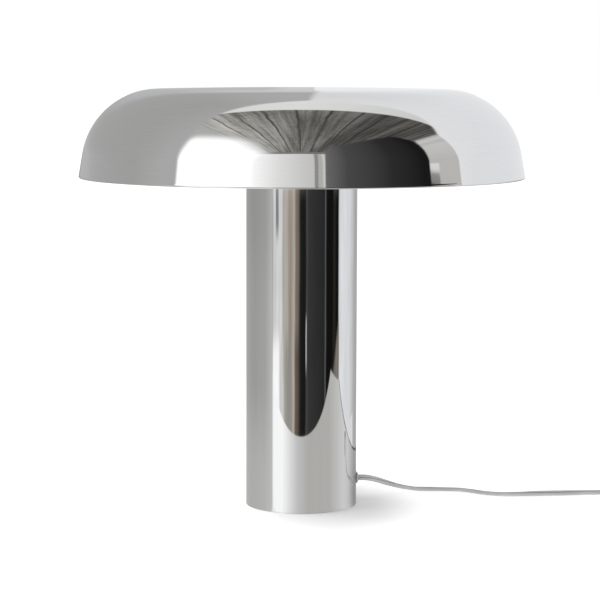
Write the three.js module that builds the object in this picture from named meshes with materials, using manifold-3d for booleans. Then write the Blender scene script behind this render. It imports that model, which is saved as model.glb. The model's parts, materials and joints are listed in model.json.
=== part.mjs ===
// A chromed mushroom table lamp. A tube stem carries a cluster of three lampholders on a tie rod,
// and a low domed shade sits on a carrier disc at the top of that rod. A flat lead leaves the foot
// of the stem and runs through an in-line switch and a tied coil to its plug.
// Lengths are millimetres and Z is up. The floor is z = 0 and the stem's axis is the Z axis.

import * as THREE from 'three';
import { mergeVertices } from 'three/addons/utils/BufferGeometryUtils.js';
import Module from 'manifold-3d';

const wasm = await Module();
wasm.setup();

// Fits and facets
const GAP = 0.3; // air between neighbouring pieces
const OVERRUN = 2; // how far a cutter passes the face that it opens
const LARGE_STEPS = 56; // facets round the shade and the stem
const INNER_STEPS = 24; // facets round the wide pieces inside them
const MEDIUM_STEPS = 14; // facets round the fittings
const SMALL_STEPS = 10; // facets round screws and holes
const CURVE_STEPS = 4; // facets along each curve of a drawn outline
const ROUTE_STEPS = 20; // points between two given points, from which a route's length is found
const CORD_SIDES = 8; // facets round the flat lead
const LEAD_SIDES = 6; // facets round the thin leads and the coil

// Shade
const SHADE_DIAMETER = 400; // across the rim
const LAMP_HEIGHT = 377.5; // floor to the middle of the crown
const SHADE_DEPTH = 80.5; // crown to rim
const SHADE_WALL = 1.2;
const SHADE_CORNER_RADIUS = 68.6; // the round shoulder between crown and skirt
const SHADE_CROWN_RISE = 1.5; // how far the middle stands above the edge of the crown
const SKIRT_LEAN = THREE.MathUtils.degToRad(9.67); // the skirt leans in by this much from upright
const HEM_DEPTH = 6; // the rim is folded in by this much
const HEM_THICKNESS = 2.4;
const CROWN_STEPS = 3;
const SHOULDER_STEPS = 8;
const INNER_SHOULDER_STEPS = 6;

// Stem and foot
const STEM_DIAMETER = 100;
const STEM_WALL = 1.5;
const STEM_HIDDEN_LENGTH = 8; // how far the stem reaches up past the shade's rim
const STEM_FLOOR_GAP = 0.4;
const STOP_RING_DEPTH = 3; // the ring inside the tube that the ballast is drawn up against
const STOP_RING_HEIGHT = 3;
const FELT_THICKNESS = 2.5;
const FELT_INSET = 1.5;
const CAP_FLANGE_HEIGHT = 2;
const CAP_SPIGOT_DEPTH = 7;
const CAP_SPIGOT_WALL = 3;

// Tie rod, nuts and washer
const ROD_DIAMETER = 10;
const ROD_BORE = 7;
const NUT_ACROSS_FLATS = 14;
const NUT_HEIGHT = 4.5;
const NUT_SIDES = 6;
const TOP_NUT_HEIGHT = 2;
const WASHER_DIAMETER = 26;
const WASHER_THICKNESS = 1.5;
const ROD_TAIL = 0.8; // how far the rod stands out below its lower nut

// Flat lead and its bush
const CORD_WIDTH = 5.2;
const CORD_THICKNESS = 3.2;
const CORD_EXIT_HEIGHT = 24;
const BUSH_FLANGE_DIAMETER = 10.8;
const BUSH_FLANGE_THICKNESS = 1.8;
const BUSH_NECK_DIAMETER = 8.4;
const BUSH_SHOULDER_DIAMETER = 9.8;
const BUSH_SHOULDER_LENGTH = 1.6;
const BUSH_TAIL_LENGTH = 22; // the tapered strain relief, inside the stem
const BUSH_TAIL_END_DIAMETER = 7.4;
const BUSH_RIB_COUNT = 3; // rings round the tapered tail
const BUSH_RIB_HEIGHT = 0.35;
const BUSH_RIB_SHARES = [[0, 0], [0.4, 0], [0.5, 1], [0.9, 1]]; // along one rib's pitch, and up its height
const STOP_RING_NOTCH = 26; // the stop ring is open this wide where the bush comes in
const CABLE_RISE_RADIUS = 20; // the inner cable climbs at this distance from the axis
const CABLE_AZIMUTH = THREE.MathUtils.degToRad(150);
const CABLE_HOLE_DIAMETER = 8.4;
const CABLE_STEPS = 40;

// Saddle that clamps the cable to the ballast
const SADDLE_SPACE = 1.5; // from the bush's tail to the saddle
const SADDLE_LENGTH = 8;
const SADDLE_SHEET = 2;
const SADDLE_FOOT = 9; // each foot's width
const SADDLE_SCREW_DIAMETER = 3;
const SADDLE_SCREW_DEPTH = 8;
const SADDLE_HEAD_DIAMETER = 5.5;
const SADDLE_HEAD_HEIGHT = 2.2;

// Lampholder cluster
const CLUSTER_DIAMETER = 56;
const CLUSTER_HEIGHT = 40;
const CLUSTER_WALL = 1.5;
const CLUSTER_FLOOR = 2;
const COVER_THICKNESS = 1.5;
const COVER_LIP_DEPTH = 3;
const LAMP_AZIMUTHS = [90, 210, 330].map(THREE.MathUtils.degToRad);
const BLOCK_WIDTH = 16; // the terminal block, along the drum's wall
const BLOCK_DEPTH = 9;
const BLOCK_HEIGHT = 11;
const BLOCK_REACH = 15.5; // from the axis to the block's middle
const BLOCK_CLAMP_DIAMETER = 3.6;
const BLOCK_CLAMP_COUNT = 3;
const LEAD_DIAMETER = 2.6;
const LEAD_STEPS = 12;
const NIPPLE_DIAMETER = 10;
const NIPPLE_BORE = 7;
const NIPPLE_INSET = 4; // how far a nipple reaches inside the drum
const NIPPLE_SEAT = 5; // how far it reaches into the lampholder

// Lampholder and bulb
const HOLDER_STANDOFF = 5; // drum to lampholder
const HOLDER_LENGTH = 46;
const HOLDER_DIAMETER = 27;
const HOLDER_TAIL_DIAMETER = 16;
const HOLDER_TAIL_LENGTH = 9;
const HOLDER_COLLAR_LENGTH = 5;
const HOLDER_COLLAR_RISE = 1.2;
const HOLDER_RIB_REACH = 5; // from the shell's waist to its rib
const HOLDER_RIB_WIDTH = 2.5;
const HOLDER_RIB_RISE = 0.6;
const SLEEVE_WALL = 0.8;
const SLEEVE_LENGTH = 17;
const CAP_THREAD_DIAMETER = 13.9; // an E14 cap
const CAP_THREAD_LENGTH = 15;
const CAP_SKIRT_DIAMETER = 15.6;
const CAP_SKIRT_LENGTH = 6;
const CAP_CONTACT_DIAMETER = 4.8;
const CAP_CONTACT_HEIGHT = 1.2;
const CAP_CONE_HEIGHT = 2.6;
const CAP_SHOW = 1; // how far the cap stands out of the lampholder
const CONTACT_WIDTH = 4;
const CONTACT_THICKNESS = 0.8;
const CONTACT_BUMP_DIAMETER = 3;
const BULB_DIAMETER = 45;
const BULB_GLASS_LENGTH = 54;
const BULB_NECK_DIAMETER = 21;
const BULB_WALL = 0.9;
const BULB_FOOT_LENGTH = 5; // the glass widens over this length from the cap to its neck
const GLASS_STEPS = 7;
const INNER_GLASS_STEPS = 4;
const BULB_NECK_BLEND_SHARE = 1.25; // where the neck meets the globe, as a share of its own angle

// Shade carrier
const CARRIER_DIAMETER = 84;
const CARRIER_THICKNESS = 3;
const CARRIER_RIM_DEPTH = 12; // the rim that the thumb screws bear on
const CARRIER_RIM_WALL = 2.5;
const CARRIER_VENT_COUNT = 6;
const CARRIER_VENT_DIAMETER = 13;
const CARRIER_VENT_REACH = 26; // from the axis to a vent's middle
const PAD_WIDTH = 6;
const PAD_THICKNESS = 2.4;
const COLLAR_CLEARANCE = 0.6; // collar to carrier, so that the shade lifts off freely
const COLLAR_WALL = 3;
const COLLAR_HEIGHT = 15.5;
const COLLAR_BOSS_DIAMETER = 9;
const COLLAR_BOSS_LENGTH = 3.4;
const THUMB_SCREW_DROP = 7; // from the carrier's top face to the screws
const THUMB_SCREW_DIAMETER = 4;
const THUMB_SHOULDER_LENGTH = 5; // the play between boss and head
const THUMB_HEAD_DIAMETER = 11;
const THUMB_HEAD_LENGTH = 8;
const THUMB_KNURL_COUNT = 10;
const THUMB_KNURL_DEPTH = 0.7;
const THUMB_SCREW_AZIMUTHS = [30, 150, 270].map(THREE.MathUtils.degToRad);

// Free lead, as it lies from the bush to the switch, with points chosen by hand
const CORD_RUN_POINTS = [
  [52.6, 0, 24], [57.3, 0.4, 24], [61.4, 1.9, 23.3], [65, 4.6, 22.2], [68.6, 8.4, 20.6],
  [72.3, 12.6, 18.9], [76.2, 17.5, 16.8], [80.1, 22.8, 14.7], [84, 28.4, 12.6], [87.9, 34, 10.5],
  [91.9, 39.6, 8.5], [95.9, 45, 6.8], [99.9, 50, 5.2], [103.8, 54, 3.9], [107.9, 57.2, 2.8],
  [115.4, 60.2, 2.2], [124, 60.8, 2], [138, 60.6, 1.8], [149, 58.6, 1.8], [159.8, 51.7, 1.8],
  [170.5, 43, 1.8], [181, 37.6, 2], [192, 34.3, 2.4], [204, 33.4, 2.7], [218, 34.8, 2.9],
  [233, 36.7, 2.9], [248, 39.2, 2.7], [263.4, 42.4, 2.5], [277.5, 45.1, 2.2], [281.5, 45.8, 2.4],
  [285.5, 46.2, 3.3], [289.5, 46.4, 4.2], [291.8, 46.5, 4.55], [293.7, 46.5, 4.6],
];
const CORD_RUN_STEPS = 38;
// How the lead's wide side stands along that run: its share of the run and its tilt in degrees
const CORD_TILT_SHARES = [[0, 90], [0.32, 12], [0.4, 0], [0.6, 0], [0.78, 50], [0.92, 20], [1, 0]];

// In-line switch
const SWITCH_START = 294; // the end that faces the stem
const SWITCH_SIDE = 46.5; // its middle, behind the stem's axis
const SWITCH_LENGTH = 62;
const SWITCH_WIDTH = 26;
const SWITCH_END_WIDTH = 12;
const SWITCH_LOWER_HEIGHT = 9.2;
const SWITCH_UPPER_HEIGHT = 9.5;
const SWITCH_EDGE = 1.6; // the rounded edges' size
const SWITCH_WAIST_SHARE = 0.3; // where the sides begin to draw in, as a share of the length
const ROCKER_LENGTH = 19;
const ROCKER_WIDTH = 9;
const ROCKER_PIVOT_DROP = 6.6; // from the shell's top face down to the pivot
const ROCKER_THROW = THREE.MathUtils.degToRad(7); // to each side of level
const ROCKER_PROUD = 1.8; // its ends stand this far above the shell when level
const ROCKER_DIP = 1.6; // its middle lies this far below its ends
const ROCKER_KEEL = 2.2; // below the pivot
const ROCKER_AXLE_DIAMETER = 3;
const ROCKER_AXLE_STUB = 2.4;
const SWITCH_SCREW_REACH = 21; // from the switch's middle to each screw
const SWITCH_SCREW_DIAMETER = 3;
const SWITCH_SCREW_HEAD_DIAMETER = 5.4;
const SWITCH_SCREW_HEAD_HEIGHT = 2;
const SWITCH_SCREW_SINK = 0.8;
const SWITCH_SCREW_GRIP = 5;

// Lead from the switch to the coil, with points chosen by hand
const CORD_LINK_POINTS = [
  [356.3, 46.5, 4.6], [358.6, 46.5, 4.6], [362, 46.6, 4.4], [368, 47.4, 3.8], [374.5, 50.1, 3.1],
  [380.2, 54.4, 2.8], [384.5, 60, 2.75], [387.2, 66.6, 2.75], [388.1, 73.6, 2.75],
  [388.1, 86, 2.75], [388.1, 98.5, 2.75],
];
const CORD_LINK_STEPS = 14;

// Coil
const COIL_CENTRE_X = 352.5;
const COIL_CENTRE_Y = 104;
const COIL_OUTER_RADIUS = 35.6; // at the middle of its outermost turn
const COIL_TURN_PITCH = 5.8; // from one turn to the next beside it
const COIL_LAYER_PITCH = 3.8; // from one layer to the next above it
const COIL_BASE_HEIGHT = 2.75; // the lowest turn's middle
const COIL_LAYERS = 4;
const COIL_TURNS = 7;
const COIL_STEPS = 24; // for each turn
const PROBE_STEPS = 72; // for each turn, where the gap between turns is measured
const PROBE_SIDES = 16;
const TIE_THICKNESS = 0.8;
const TIE_WIDTH = 12;
const TIE_CLEARANCE = 1.1; // room for the coil's curve inside the straight tie
const TIE_CORNER = 2.4;

// Lead from the coil to the plug, with points chosen by hand
const CORD_END_POINTS = [
  [388.1, 109.5, 14.15], [388.1, 112, 14.1], [388.1, 115.8, 13.7], [388.1, 120.7, 12.3],
  [388.1, 125.5, 10.5], [388.1, 130.3, 8.7], [388.1, 135.2, 7.35], [388.1, 139.6, 6.9],
  [388.1, 143.5, 6.85],
];
const CORD_END_STEPS = 8;

// Plug, two round pins
const PLUG_SIDE = 388.1;
const PLUG_TAIL_START = 143.8;
const PLUG_TAIL_LENGTH = 21;
const PLUG_TAIL_END_DIAMETER = 7.6;
const PLUG_TAIL_DIAMETER = 11;
const PLUG_TAIL_RIBS = 4;
const PLUG_RIB_HEIGHT = 0.5;
const PLUG_RIB_SHARES = [[0, 0], [0.5, 0], [0.6, 1], [0.9, 1]]; // along a ring's pitch, and its drop
const PLUG_LENGTH = 35;
const PLUG_WIDTH = 35.3;
const PLUG_BACK_WIDTH = 13;
const PLUG_HEIGHT = 13.7;
const PLUG_EDGE = 2.5;
const PLUG_FACE_SHARE = 0.34; // how much of the length keeps the full width
const PIN_SPACING = 18.6;
const PIN_DIAMETER = 4;
const PIN_SLEEVE_DIAMETER = 3.8;
const PIN_SLEEVE_LENGTH = 10;
const PIN_LENGTH = 19;
const PIN_ROOT = 8; // how deep a pin sits in the plug
const PIN_TIP = 1.2;

// Places that follow from the sizes
const rimHeight = LAMP_HEIGHT - SHADE_DEPTH;
const shadeRadius = SHADE_DIAMETER / 2;
const shoulderHeight = LAMP_HEIGHT - SHADE_CROWN_RISE - SHADE_CORNER_RADIUS;
const skirtHeight = shoulderHeight + SHADE_CORNER_RADIUS * Math.sin(SKIRT_LEAN) - rimHeight;
const shoulderReach = shadeRadius - SHADE_CORNER_RADIUS * Math.cos(SKIRT_LEAN)
  - skirtHeight * Math.tan(SKIRT_LEAN);
const crownSagitta = SHADE_CROWN_RISE + SHADE_CORNER_RADIUS;
const crownRadius = (shoulderReach ** 2 + crownSagitta ** 2 - SHADE_CORNER_RADIUS ** 2)
  / (2 * SHADE_CROWN_RISE);
const crownCentre = LAMP_HEIGHT - crownRadius;
const crownEdge = Math.atan2(shoulderReach, shoulderHeight - crownCentre);

const stemRadius = STEM_DIAMETER / 2;
const stemBore = stemRadius - STEM_WALL;
const stemTop = rimHeight + STEM_HIDDEN_LENGTH;
const ballastBottom = FELT_THICKNESS + GAP;
const ballastTop = CORD_EXIT_HEIGHT - CORD_WIDTH / 2 - GAP;
const bushShoulder = BUSH_SHOULDER_DIAMETER / 2;
const bushShoulderFace = Math.sqrt(stemBore ** 2 - bushShoulder ** 2) - GAP;
const bushTailEnd = bushShoulderFace - BUSH_TAIL_LENGTH;
const saddleStart = bushTailEnd - SADDLE_SPACE - SADDLE_LENGTH;
const saddleMiddle = saddleStart + SADDLE_LENGTH / 2;
const rodRadius = ROD_DIAMETER / 2;
const rodHole = rodRadius + GAP;
const rodBottom = ballastBottom + GAP;
const lowerNutBottom = rodBottom + ROD_TAIL;
const washerBottom = lowerNutBottom + NUT_HEIGHT + GAP;
const counterboreTop = washerBottom + WASHER_THICKNESS + GAP;

const capBottom = stemTop + GAP;
const stemNutBottom = capBottom + CAP_FLANGE_HEIGHT + GAP;
const clusterBottom = stemNutBottom + NUT_HEIGHT + GAP;
const clusterTop = clusterBottom + CLUSTER_HEIGHT;
const clusterRadius = CLUSTER_DIAMETER / 2;
const lampHeight = clusterBottom + CLUSTER_HEIGHT / 2;
const coverBottom = clusterTop + GAP;
const coverNutBottom = coverBottom + COVER_THICKNESS + GAP;
const blockBottom = lampHeight - BLOCK_HEIGHT;

const carrierRadius = CARRIER_DIAMETER / 2;
const padTop = shadeUnderside(carrierRadius) - GAP;
const carrierTop = padTop - PAD_THICKNESS - GAP;
const carrierBottom = carrierTop - CARRIER_THICKNESS;
const carrierNutBottom = carrierBottom - GAP - NUT_HEIGHT;
const topNutBottom = carrierTop + GAP;
const rodTop = topNutBottom + TOP_NUT_HEIGHT;
const collarBore = carrierRadius + COLLAR_CLEARANCE;
const collarRadius = collarBore + COLLAR_WALL;
const collarTop = shadeUnderside(collarRadius) - GAP;
const thumbHeight = carrierTop - THUMB_SCREW_DROP;
const bossEnd = collarRadius + COLLAR_BOSS_LENGTH;

const holderStart = clusterRadius + HOLDER_STANDOFF;
const holderEnd = holderStart + HOLDER_LENGTH;
const sleeveBore = CAP_THREAD_DIAMETER / 2 + GAP;
const sleeveRadius = sleeveBore + SLEEVE_WALL;
const holderBore = Math.max(sleeveRadius, CAP_SKIRT_DIAMETER / 2) + GAP;
const capEnd = holderEnd + CAP_SHOW;
const capThreadEnd = capEnd - CAP_SKIRT_LENGTH;
const capThreadStart = capThreadEnd - CAP_THREAD_LENGTH;
const capTip = capThreadStart - CAP_CONE_HEIGHT - CAP_CONTACT_HEIGHT;
const contactBump = CONTACT_THICKNESS + CAP_CONTACT_HEIGHT;
const contactFoot = capTip - GAP - contactBump;
const holderFloor = contactFoot - GAP;
const nippleStart = clusterRadius - NIPPLE_INSET;
const nippleEnd = holderStart + NIPPLE_SEAT;

const switchTop = SWITCH_LOWER_HEIGHT + GAP + SWITCH_UPPER_HEIGHT;
const rockerPivot = switchTop - ROCKER_PIVOT_DROP;
const coilSpread = COIL_TURN_PITCH * COIL_TURNS / COIL_LAYERS;
const coilInnerRadius = COIL_OUTER_RADIUS - coilSpread;
const coilTopHeight = COIL_BASE_HEIGHT + COIL_LAYER_PITCH * (COIL_LAYERS - 1);
const plugFace = PLUG_TAIL_START + PLUG_TAIL_LENGTH + PLUG_LENGTH;

// Height of the shade's underside at a distance from the axis that lies within the crown
function shadeUnderside(reach) {
  return crownCentre + Math.sqrt((crownRadius - SHADE_WALL) ** 2 - reach ** 2);
}

// One closed mesh from a three.js geometry, with its faces pointing out
function closed(source) {
  const bare = source.index ? source.toNonIndexed() : source.clone();
  for (const name of Object.keys(bare.attributes)) {
    if (name !== 'position') bare.deleteAttribute(name);
  }
  const merged = mergeVertices(bare);
  const faces = [];
  const index = merged.index.array;
  for (let i = 0; i < index.length; i += 3) {
    const [a, b, c] = [index[i], index[i + 1], index[i + 2]];
    if (a !== b && b !== c && c !== a) faces.push(a, b, c);
  }
  if (signedVolume(merged.attributes.position, faces) < 0) faces.reverse();
  merged.setIndex(faces);
  merged.clearGroups();
  return merged;
}

function signedVolume(position, faces) {
  const corners = [new THREE.Vector3(), new THREE.Vector3(), new THREE.Vector3()];
  let total = 0;
  for (let i = 0; i < faces.length; i += 3) {
    corners.forEach((corner, k) => corner.fromBufferAttribute(position, faces[i + k]));
    total += corners[0].dot(corners[1].clone().cross(corners[2])) / 6;
  }
  return total;
}

function manifoldOf(source) {
  const mesh = closed(source);
  return new wasm.Manifold(new wasm.Mesh({
    numProp: 3,
    vertProperties: new Float32Array(mesh.attributes.position.array),
    triVerts: new Uint32Array(mesh.index.array),
  }));
}

function geometryOf(manifold) {
  const mesh = manifold.getMesh();
  const result = new THREE.BufferGeometry();
  result.setAttribute('position', new THREE.BufferAttribute(mesh.vertProperties, mesh.numProp));
  result.setIndex(Array.from(mesh.triVerts));
  return result;
}

function cut(base, ...tools) {
  const left = tools.reduce((rest, tool) => rest.subtract(manifoldOf(tool)), manifoldOf(base));
  return geometryOf(left);
}

function join(base, ...others) {
  const whole = others.reduce((sum, other) => sum.add(manifoldOf(other)), manifoldOf(base));
  return geometryOf(whole);
}

// A turned piece about the Z axis, from an outline of [radius, height] points
function turned(outline, steps = MEDIUM_STEPS) {
  const points = outline.map(([radius, height]) => new THREE.Vector2(radius, height));
  const onAxis = outline[0][0] === 0 && outline.at(-1)[0] === 0;
  if (!onAxis) points.push(points[0].clone());
  return new THREE.LatheGeometry(points, steps).rotateX(Math.PI / 2);
}

function disc(radius, bottom, top, steps = MEDIUM_STEPS) {
  return turned([[0, bottom], [radius, bottom], [radius, top], [0, top]], steps);
}

function ring(bore, radius, bottom, top, steps = MEDIUM_STEPS) {
  return turned([[bore, bottom], [radius, bottom], [radius, top], [bore, top]], steps);
}

// The same turned pieces laid along the X axis
function alongX(geometry) {
  return geometry.rotateY(Math.PI / 2);
}

function box(low, high) {
  const [dx, dy, dz] = high.map((value, i) => value - low[i]);
  const [x, y, z] = high.map((value, i) => (value + low[i]) / 2);
  return new THREE.BoxGeometry(dx, dy, dz).translate(x, y, z);
}

// Points on an arc, with angles measured from upright
function arc(reach, height, radius, from, to, steps) {
  return Array.from({ length: steps + 1 }, (_, i) => {
    const angle = from + (to - from) * i / steps;
    return [reach + radius * Math.sin(angle), height + radius * Math.cos(angle)];
  });
}

// The lead's section: two round cores side by side, drawn as a flat band with round edges
function cordSection(width, thickness, sides) {
  const round = thickness / 2;
  const offset = (width - thickness) / 2;
  const points = Array.from({ length: sides }, (_, i) => {
    const angle = (i + 0.5) * 2 * Math.PI / sides;
    const side = Math.sign(Math.cos(angle));
    const stretch = 1 / Math.cos(Math.PI / sides);
    const x = side * offset + round * stretch * Math.cos(angle);
    return new THREE.Vector2(x, round * stretch * Math.sin(angle));
  });
  const widest = Math.max(...points.map((point) => point.x));
  const tallest = Math.max(...points.map((point) => point.y));
  points.forEach((point) => point.set(point.x * width / 2 / widest, point.y * round / tallest));
  return new THREE.Shape(points);
}

// A route on which the lead's wide side keeps to the tilt that a table of shares gives
class FlatRoute extends THREE.CatmullRomCurve3 {
  constructor(points, tiltShares) {
    super(points.map((point) => new THREE.Vector3(...point)), false, 'centripetal');
    this.tiltShares = tiltShares;
    this.arcLengthDivisions = points.length * ROUTE_STEPS;
  }

  tiltAt(share) {
    const next = this.tiltShares.findIndex(([end]) => end >= share);
    if (next <= 0) return THREE.MathUtils.degToRad(this.tiltShares[0][1]);
    const [[start, from], [end, to]] = this.tiltShares.slice(next - 1, next + 1);
    const blend = THREE.MathUtils.smoothstep(share, start, end);
    return THREE.MathUtils.degToRad(from + (to - from) * blend);
  }

  computeFrenetFrames(segments) {
    const frames = { tangents: [], normals: [], binormals: [] };
    const up = new THREE.Vector3(0, 0, 1);
    for (let i = 0; i <= segments; i += 1) {
      const tangent = this.getTangentAt(i / segments);
      const side = up.clone().cross(tangent).normalize();
      const lift = tangent.clone().cross(side);
      const tilt = this.tiltAt(i / segments);
      const normal = side.clone().multiplyScalar(Math.cos(tilt)).addScaledVector(lift, Math.sin(tilt));
      frames.tangents.push(tangent);
      frames.normals.push(normal);
      frames.binormals.push(tangent.clone().cross(normal));
    }
    return frames;
  }
}

function swept(section, route, steps) {
  return new THREE.ExtrudeGeometry(section, { steps, extrudePath: route, bevelEnabled: false });
}

// A hexagon nut on the rod
function nut(bottom, height) {
  const corner = NUT_ACROSS_FLATS / 2 / Math.cos(Math.PI / NUT_SIDES);
  const hole = disc(rodHole, bottom - OVERRUN, bottom + height + OVERRUN, SMALL_STEPS);
  return cut(disc(corner, bottom, bottom + height, NUT_SIDES), hole);
}

// Materials, one for each piece
const finishes = {
  chrome: { color: 0xc9cbcc, roughness: 0.06, metalness: 1 },
  zinc: { color: 0xa3a6a8, roughness: 0.35, metalness: 1 },
  iron: { color: 0x3a3b3c, roughness: 0.75, metalness: 0.6 },
  brass: { color: 0xb8974a, roughness: 0.3, metalness: 1 },
  aluminium: { color: 0xb9bbbd, roughness: 0.3, metalness: 1 },
  whiteEnamel: { color: 0xe9e8e2, roughness: 0.45, metalness: 0 },
  whitePlastic: { color: 0xe7e5de, roughness: 0.5, metalness: 0 },
  greyPlastic: { color: 0x8f908c, roughness: 0.45, metalness: 0 },
  darkPlastic: { color: 0x50524f, roughness: 0.4, metalness: 0 },
  lead: { color: 0x93938e, roughness: 0.5, metalness: 0 },
  opal: { color: 0xf3f0e6, roughness: 0.25, metalness: 0 },
  felt: { color: 0x3d4039, roughness: 0.95, metalness: 0 },
  rubber: { color: 0x2b2b2a, roughness: 0.8, metalness: 0 },
};

const lamp = new THREE.Group();

function piece(name, geometry, finish, parent = lamp) {
  const mesh = new THREE.Mesh(closed(geometry), new THREE.MeshStandardMaterial(finishes[finish]));
  mesh.name = name;
  parent.add(mesh);
  return mesh;
}

function turnedGroup(azimuth, height) {
  const group = new THREE.Group();
  group.rotation.z = azimuth;
  group.position.z = height;
  lamp.add(group);
  return group;
}

// Shade: a spun dome whose rim is folded in, with one round shoulder between crown and skirt
function skirtReach(height, offset) {
  return shadeRadius - (height - rimHeight) * Math.tan(SKIRT_LEAN) - offset / Math.cos(SKIRT_LEAN);
}

function shadeSurface(offset, steps) {
  const crown = arc(0, crownCentre, crownRadius - offset, 0, crownEdge, CROWN_STEPS);
  const shoulder = arc(shoulderReach, shoulderHeight, SHADE_CORNER_RADIUS - offset,
    crownEdge, Math.PI / 2 - SKIRT_LEAN, steps);
  return [...crown, ...shoulder.slice(1)];
}

function makeShade() {
  const hemTop = rimHeight + HEM_DEPTH;
  piece('shade', turned([
    ...shadeSurface(0, SHOULDER_STEPS),
    [skirtReach(rimHeight, 0), rimHeight],
    [skirtReach(rimHeight, HEM_THICKNESS), rimHeight],
    [skirtReach(hemTop, HEM_THICKNESS), hemTop],
    [skirtReach(hemTop, SHADE_WALL), hemTop],
    ...shadeSurface(SHADE_WALL, INNER_SHOULDER_STEPS).reverse(),
  ], LARGE_STEPS), 'chrome');
}

// Collar welded under the crown, with a threaded boss for each thumb screw
function makeShadeCollar() {
  const bosses = [];
  const holes = [];
  const holeRadius = THUMB_SCREW_DIAMETER / 2 + GAP;
  for (const azimuth of THUMB_SCREW_AZIMUTHS) {
    const middle = collarBore + COLLAR_WALL / 2;
    const boss = alongX(disc(COLLAR_BOSS_DIAMETER / 2, middle, bossEnd, SMALL_STEPS));
    const hole = alongX(disc(holeRadius, collarBore - OVERRUN, bossEnd + OVERRUN, SMALL_STEPS));
    bosses.push(boss.translate(0, 0, thumbHeight).rotateZ(azimuth));
    holes.push(hole.translate(0, 0, thumbHeight).rotateZ(azimuth));
  }
  const band = ring(collarBore, collarRadius, collarTop - COLLAR_HEIGHT, collarTop, INNER_STEPS);
  piece('shade_collar', cut(join(band, ...bosses), ...holes), 'zinc');
}

// Thumb screw with a knurled head, drawn along its own axis
function makeThumbScrew(number, azimuth) {
  const group = turnedGroup(azimuth, thumbHeight);
  const headStart = bossEnd + THUMB_SHOULDER_LENGTH - GAP;
  const outline = Array.from({ length: THUMB_KNURL_COUNT * 2 }, (_, i) => {
    const angle = i * Math.PI / THUMB_KNURL_COUNT;
    const radius = THUMB_HEAD_DIAMETER / 2 - (i % 2) * THUMB_KNURL_DEPTH;
    return new THREE.Vector2(radius * Math.cos(angle), radius * Math.sin(angle));
  });
  const edge = THUMB_KNURL_DEPTH;
  const head = new THREE.ExtrudeGeometry(new THREE.Shape(outline), {
    depth: THUMB_HEAD_LENGTH - 2 * edge,
    bevelSize: edge,
    bevelThickness: edge,
    bevelOffset: -edge,
    bevelSegments: 1,
  }).translate(0, 0, headStart + edge);
  const shank = disc(THUMB_SCREW_DIAMETER / 2, carrierRadius + GAP, headStart + edge, SMALL_STEPS);
  piece(`thumb_screw_${number}`, alongX(join(shank, head)), 'chrome', group);
}

// Stem: a plain tube with a stop ring welded inside, open where the bush comes in
function makeStem() {
  const middle = stemRadius - STEM_WALL / 2;
  const stopBottom = ballastTop + GAP;
  const stopRing = ring(stemBore - STOP_RING_DEPTH, middle, stopBottom, stopBottom + STOP_RING_HEIGHT,
    LARGE_STEPS);
  const notch = box([0, -STOP_RING_NOTCH / 2, stopBottom - OVERRUN],
    [stemRadius, STOP_RING_NOTCH / 2, stopBottom + STOP_RING_HEIGHT + OVERRUN]);
  const tube = ring(stemBore, stemRadius, STEM_FLOOR_GAP, stemTop, LARGE_STEPS);
  const bushHole = alongX(disc(BUSH_NECK_DIAMETER / 2 + GAP, stemBore - OVERRUN,
    stemRadius + OVERRUN, SMALL_STEPS)).translate(0, 0, CORD_EXIT_HEIGHT);
  piece('stem_tube', cut(join(tube, cut(stopRing, notch)), bushHole), 'chrome');
}

function makeFoot() {
  const ballastRadius = stemBore - GAP;
  piece('felt_pad', disc(stemBore - FELT_INSET, 0, FELT_THICKNESS, INNER_STEPS), 'felt');
  const screwHoles = [-1, 1].map((side) => disc(SADDLE_SCREW_DIAMETER / 2 + GAP,
    ballastTop - SADDLE_SCREW_DEPTH - GAP, ballastTop + OVERRUN, SMALL_STEPS)
    .translate(saddleMiddle, side * saddleScrewSide(), 0));
  const ballast = turned([
    [rodHole, counterboreTop], [WASHER_DIAMETER / 2 + GAP, counterboreTop],
    [WASHER_DIAMETER / 2 + GAP, ballastBottom], [ballastRadius, ballastBottom],
    [ballastRadius, ballastTop], [rodHole, ballastTop],
  ], INNER_STEPS);
  const groove = alongX(disc(bushShoulder + GAP, bushTailEnd - GAP, stemBore + OVERRUN))
    .translate(0, 0, CORD_EXIT_HEIGHT);
  piece('ballast', cut(ballast, groove, ...screwHoles), 'iron');
  piece('lower_washer', ring(rodHole, WASHER_DIAMETER / 2, washerBottom,
    washerBottom + WASHER_THICKNESS), 'zinc');
  piece('lower_nut', nut(lowerNutBottom, NUT_HEIGHT), 'zinc');
  piece('tie_rod', ring(ROD_BORE / 2, rodRadius, rodBottom, rodTop, SMALL_STEPS), 'zinc');
}

function saddleScrewSide() {
  return CORD_THICKNESS / 2 + GAP + SADDLE_SHEET + SADDLE_FOOT / 2;
}

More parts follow.
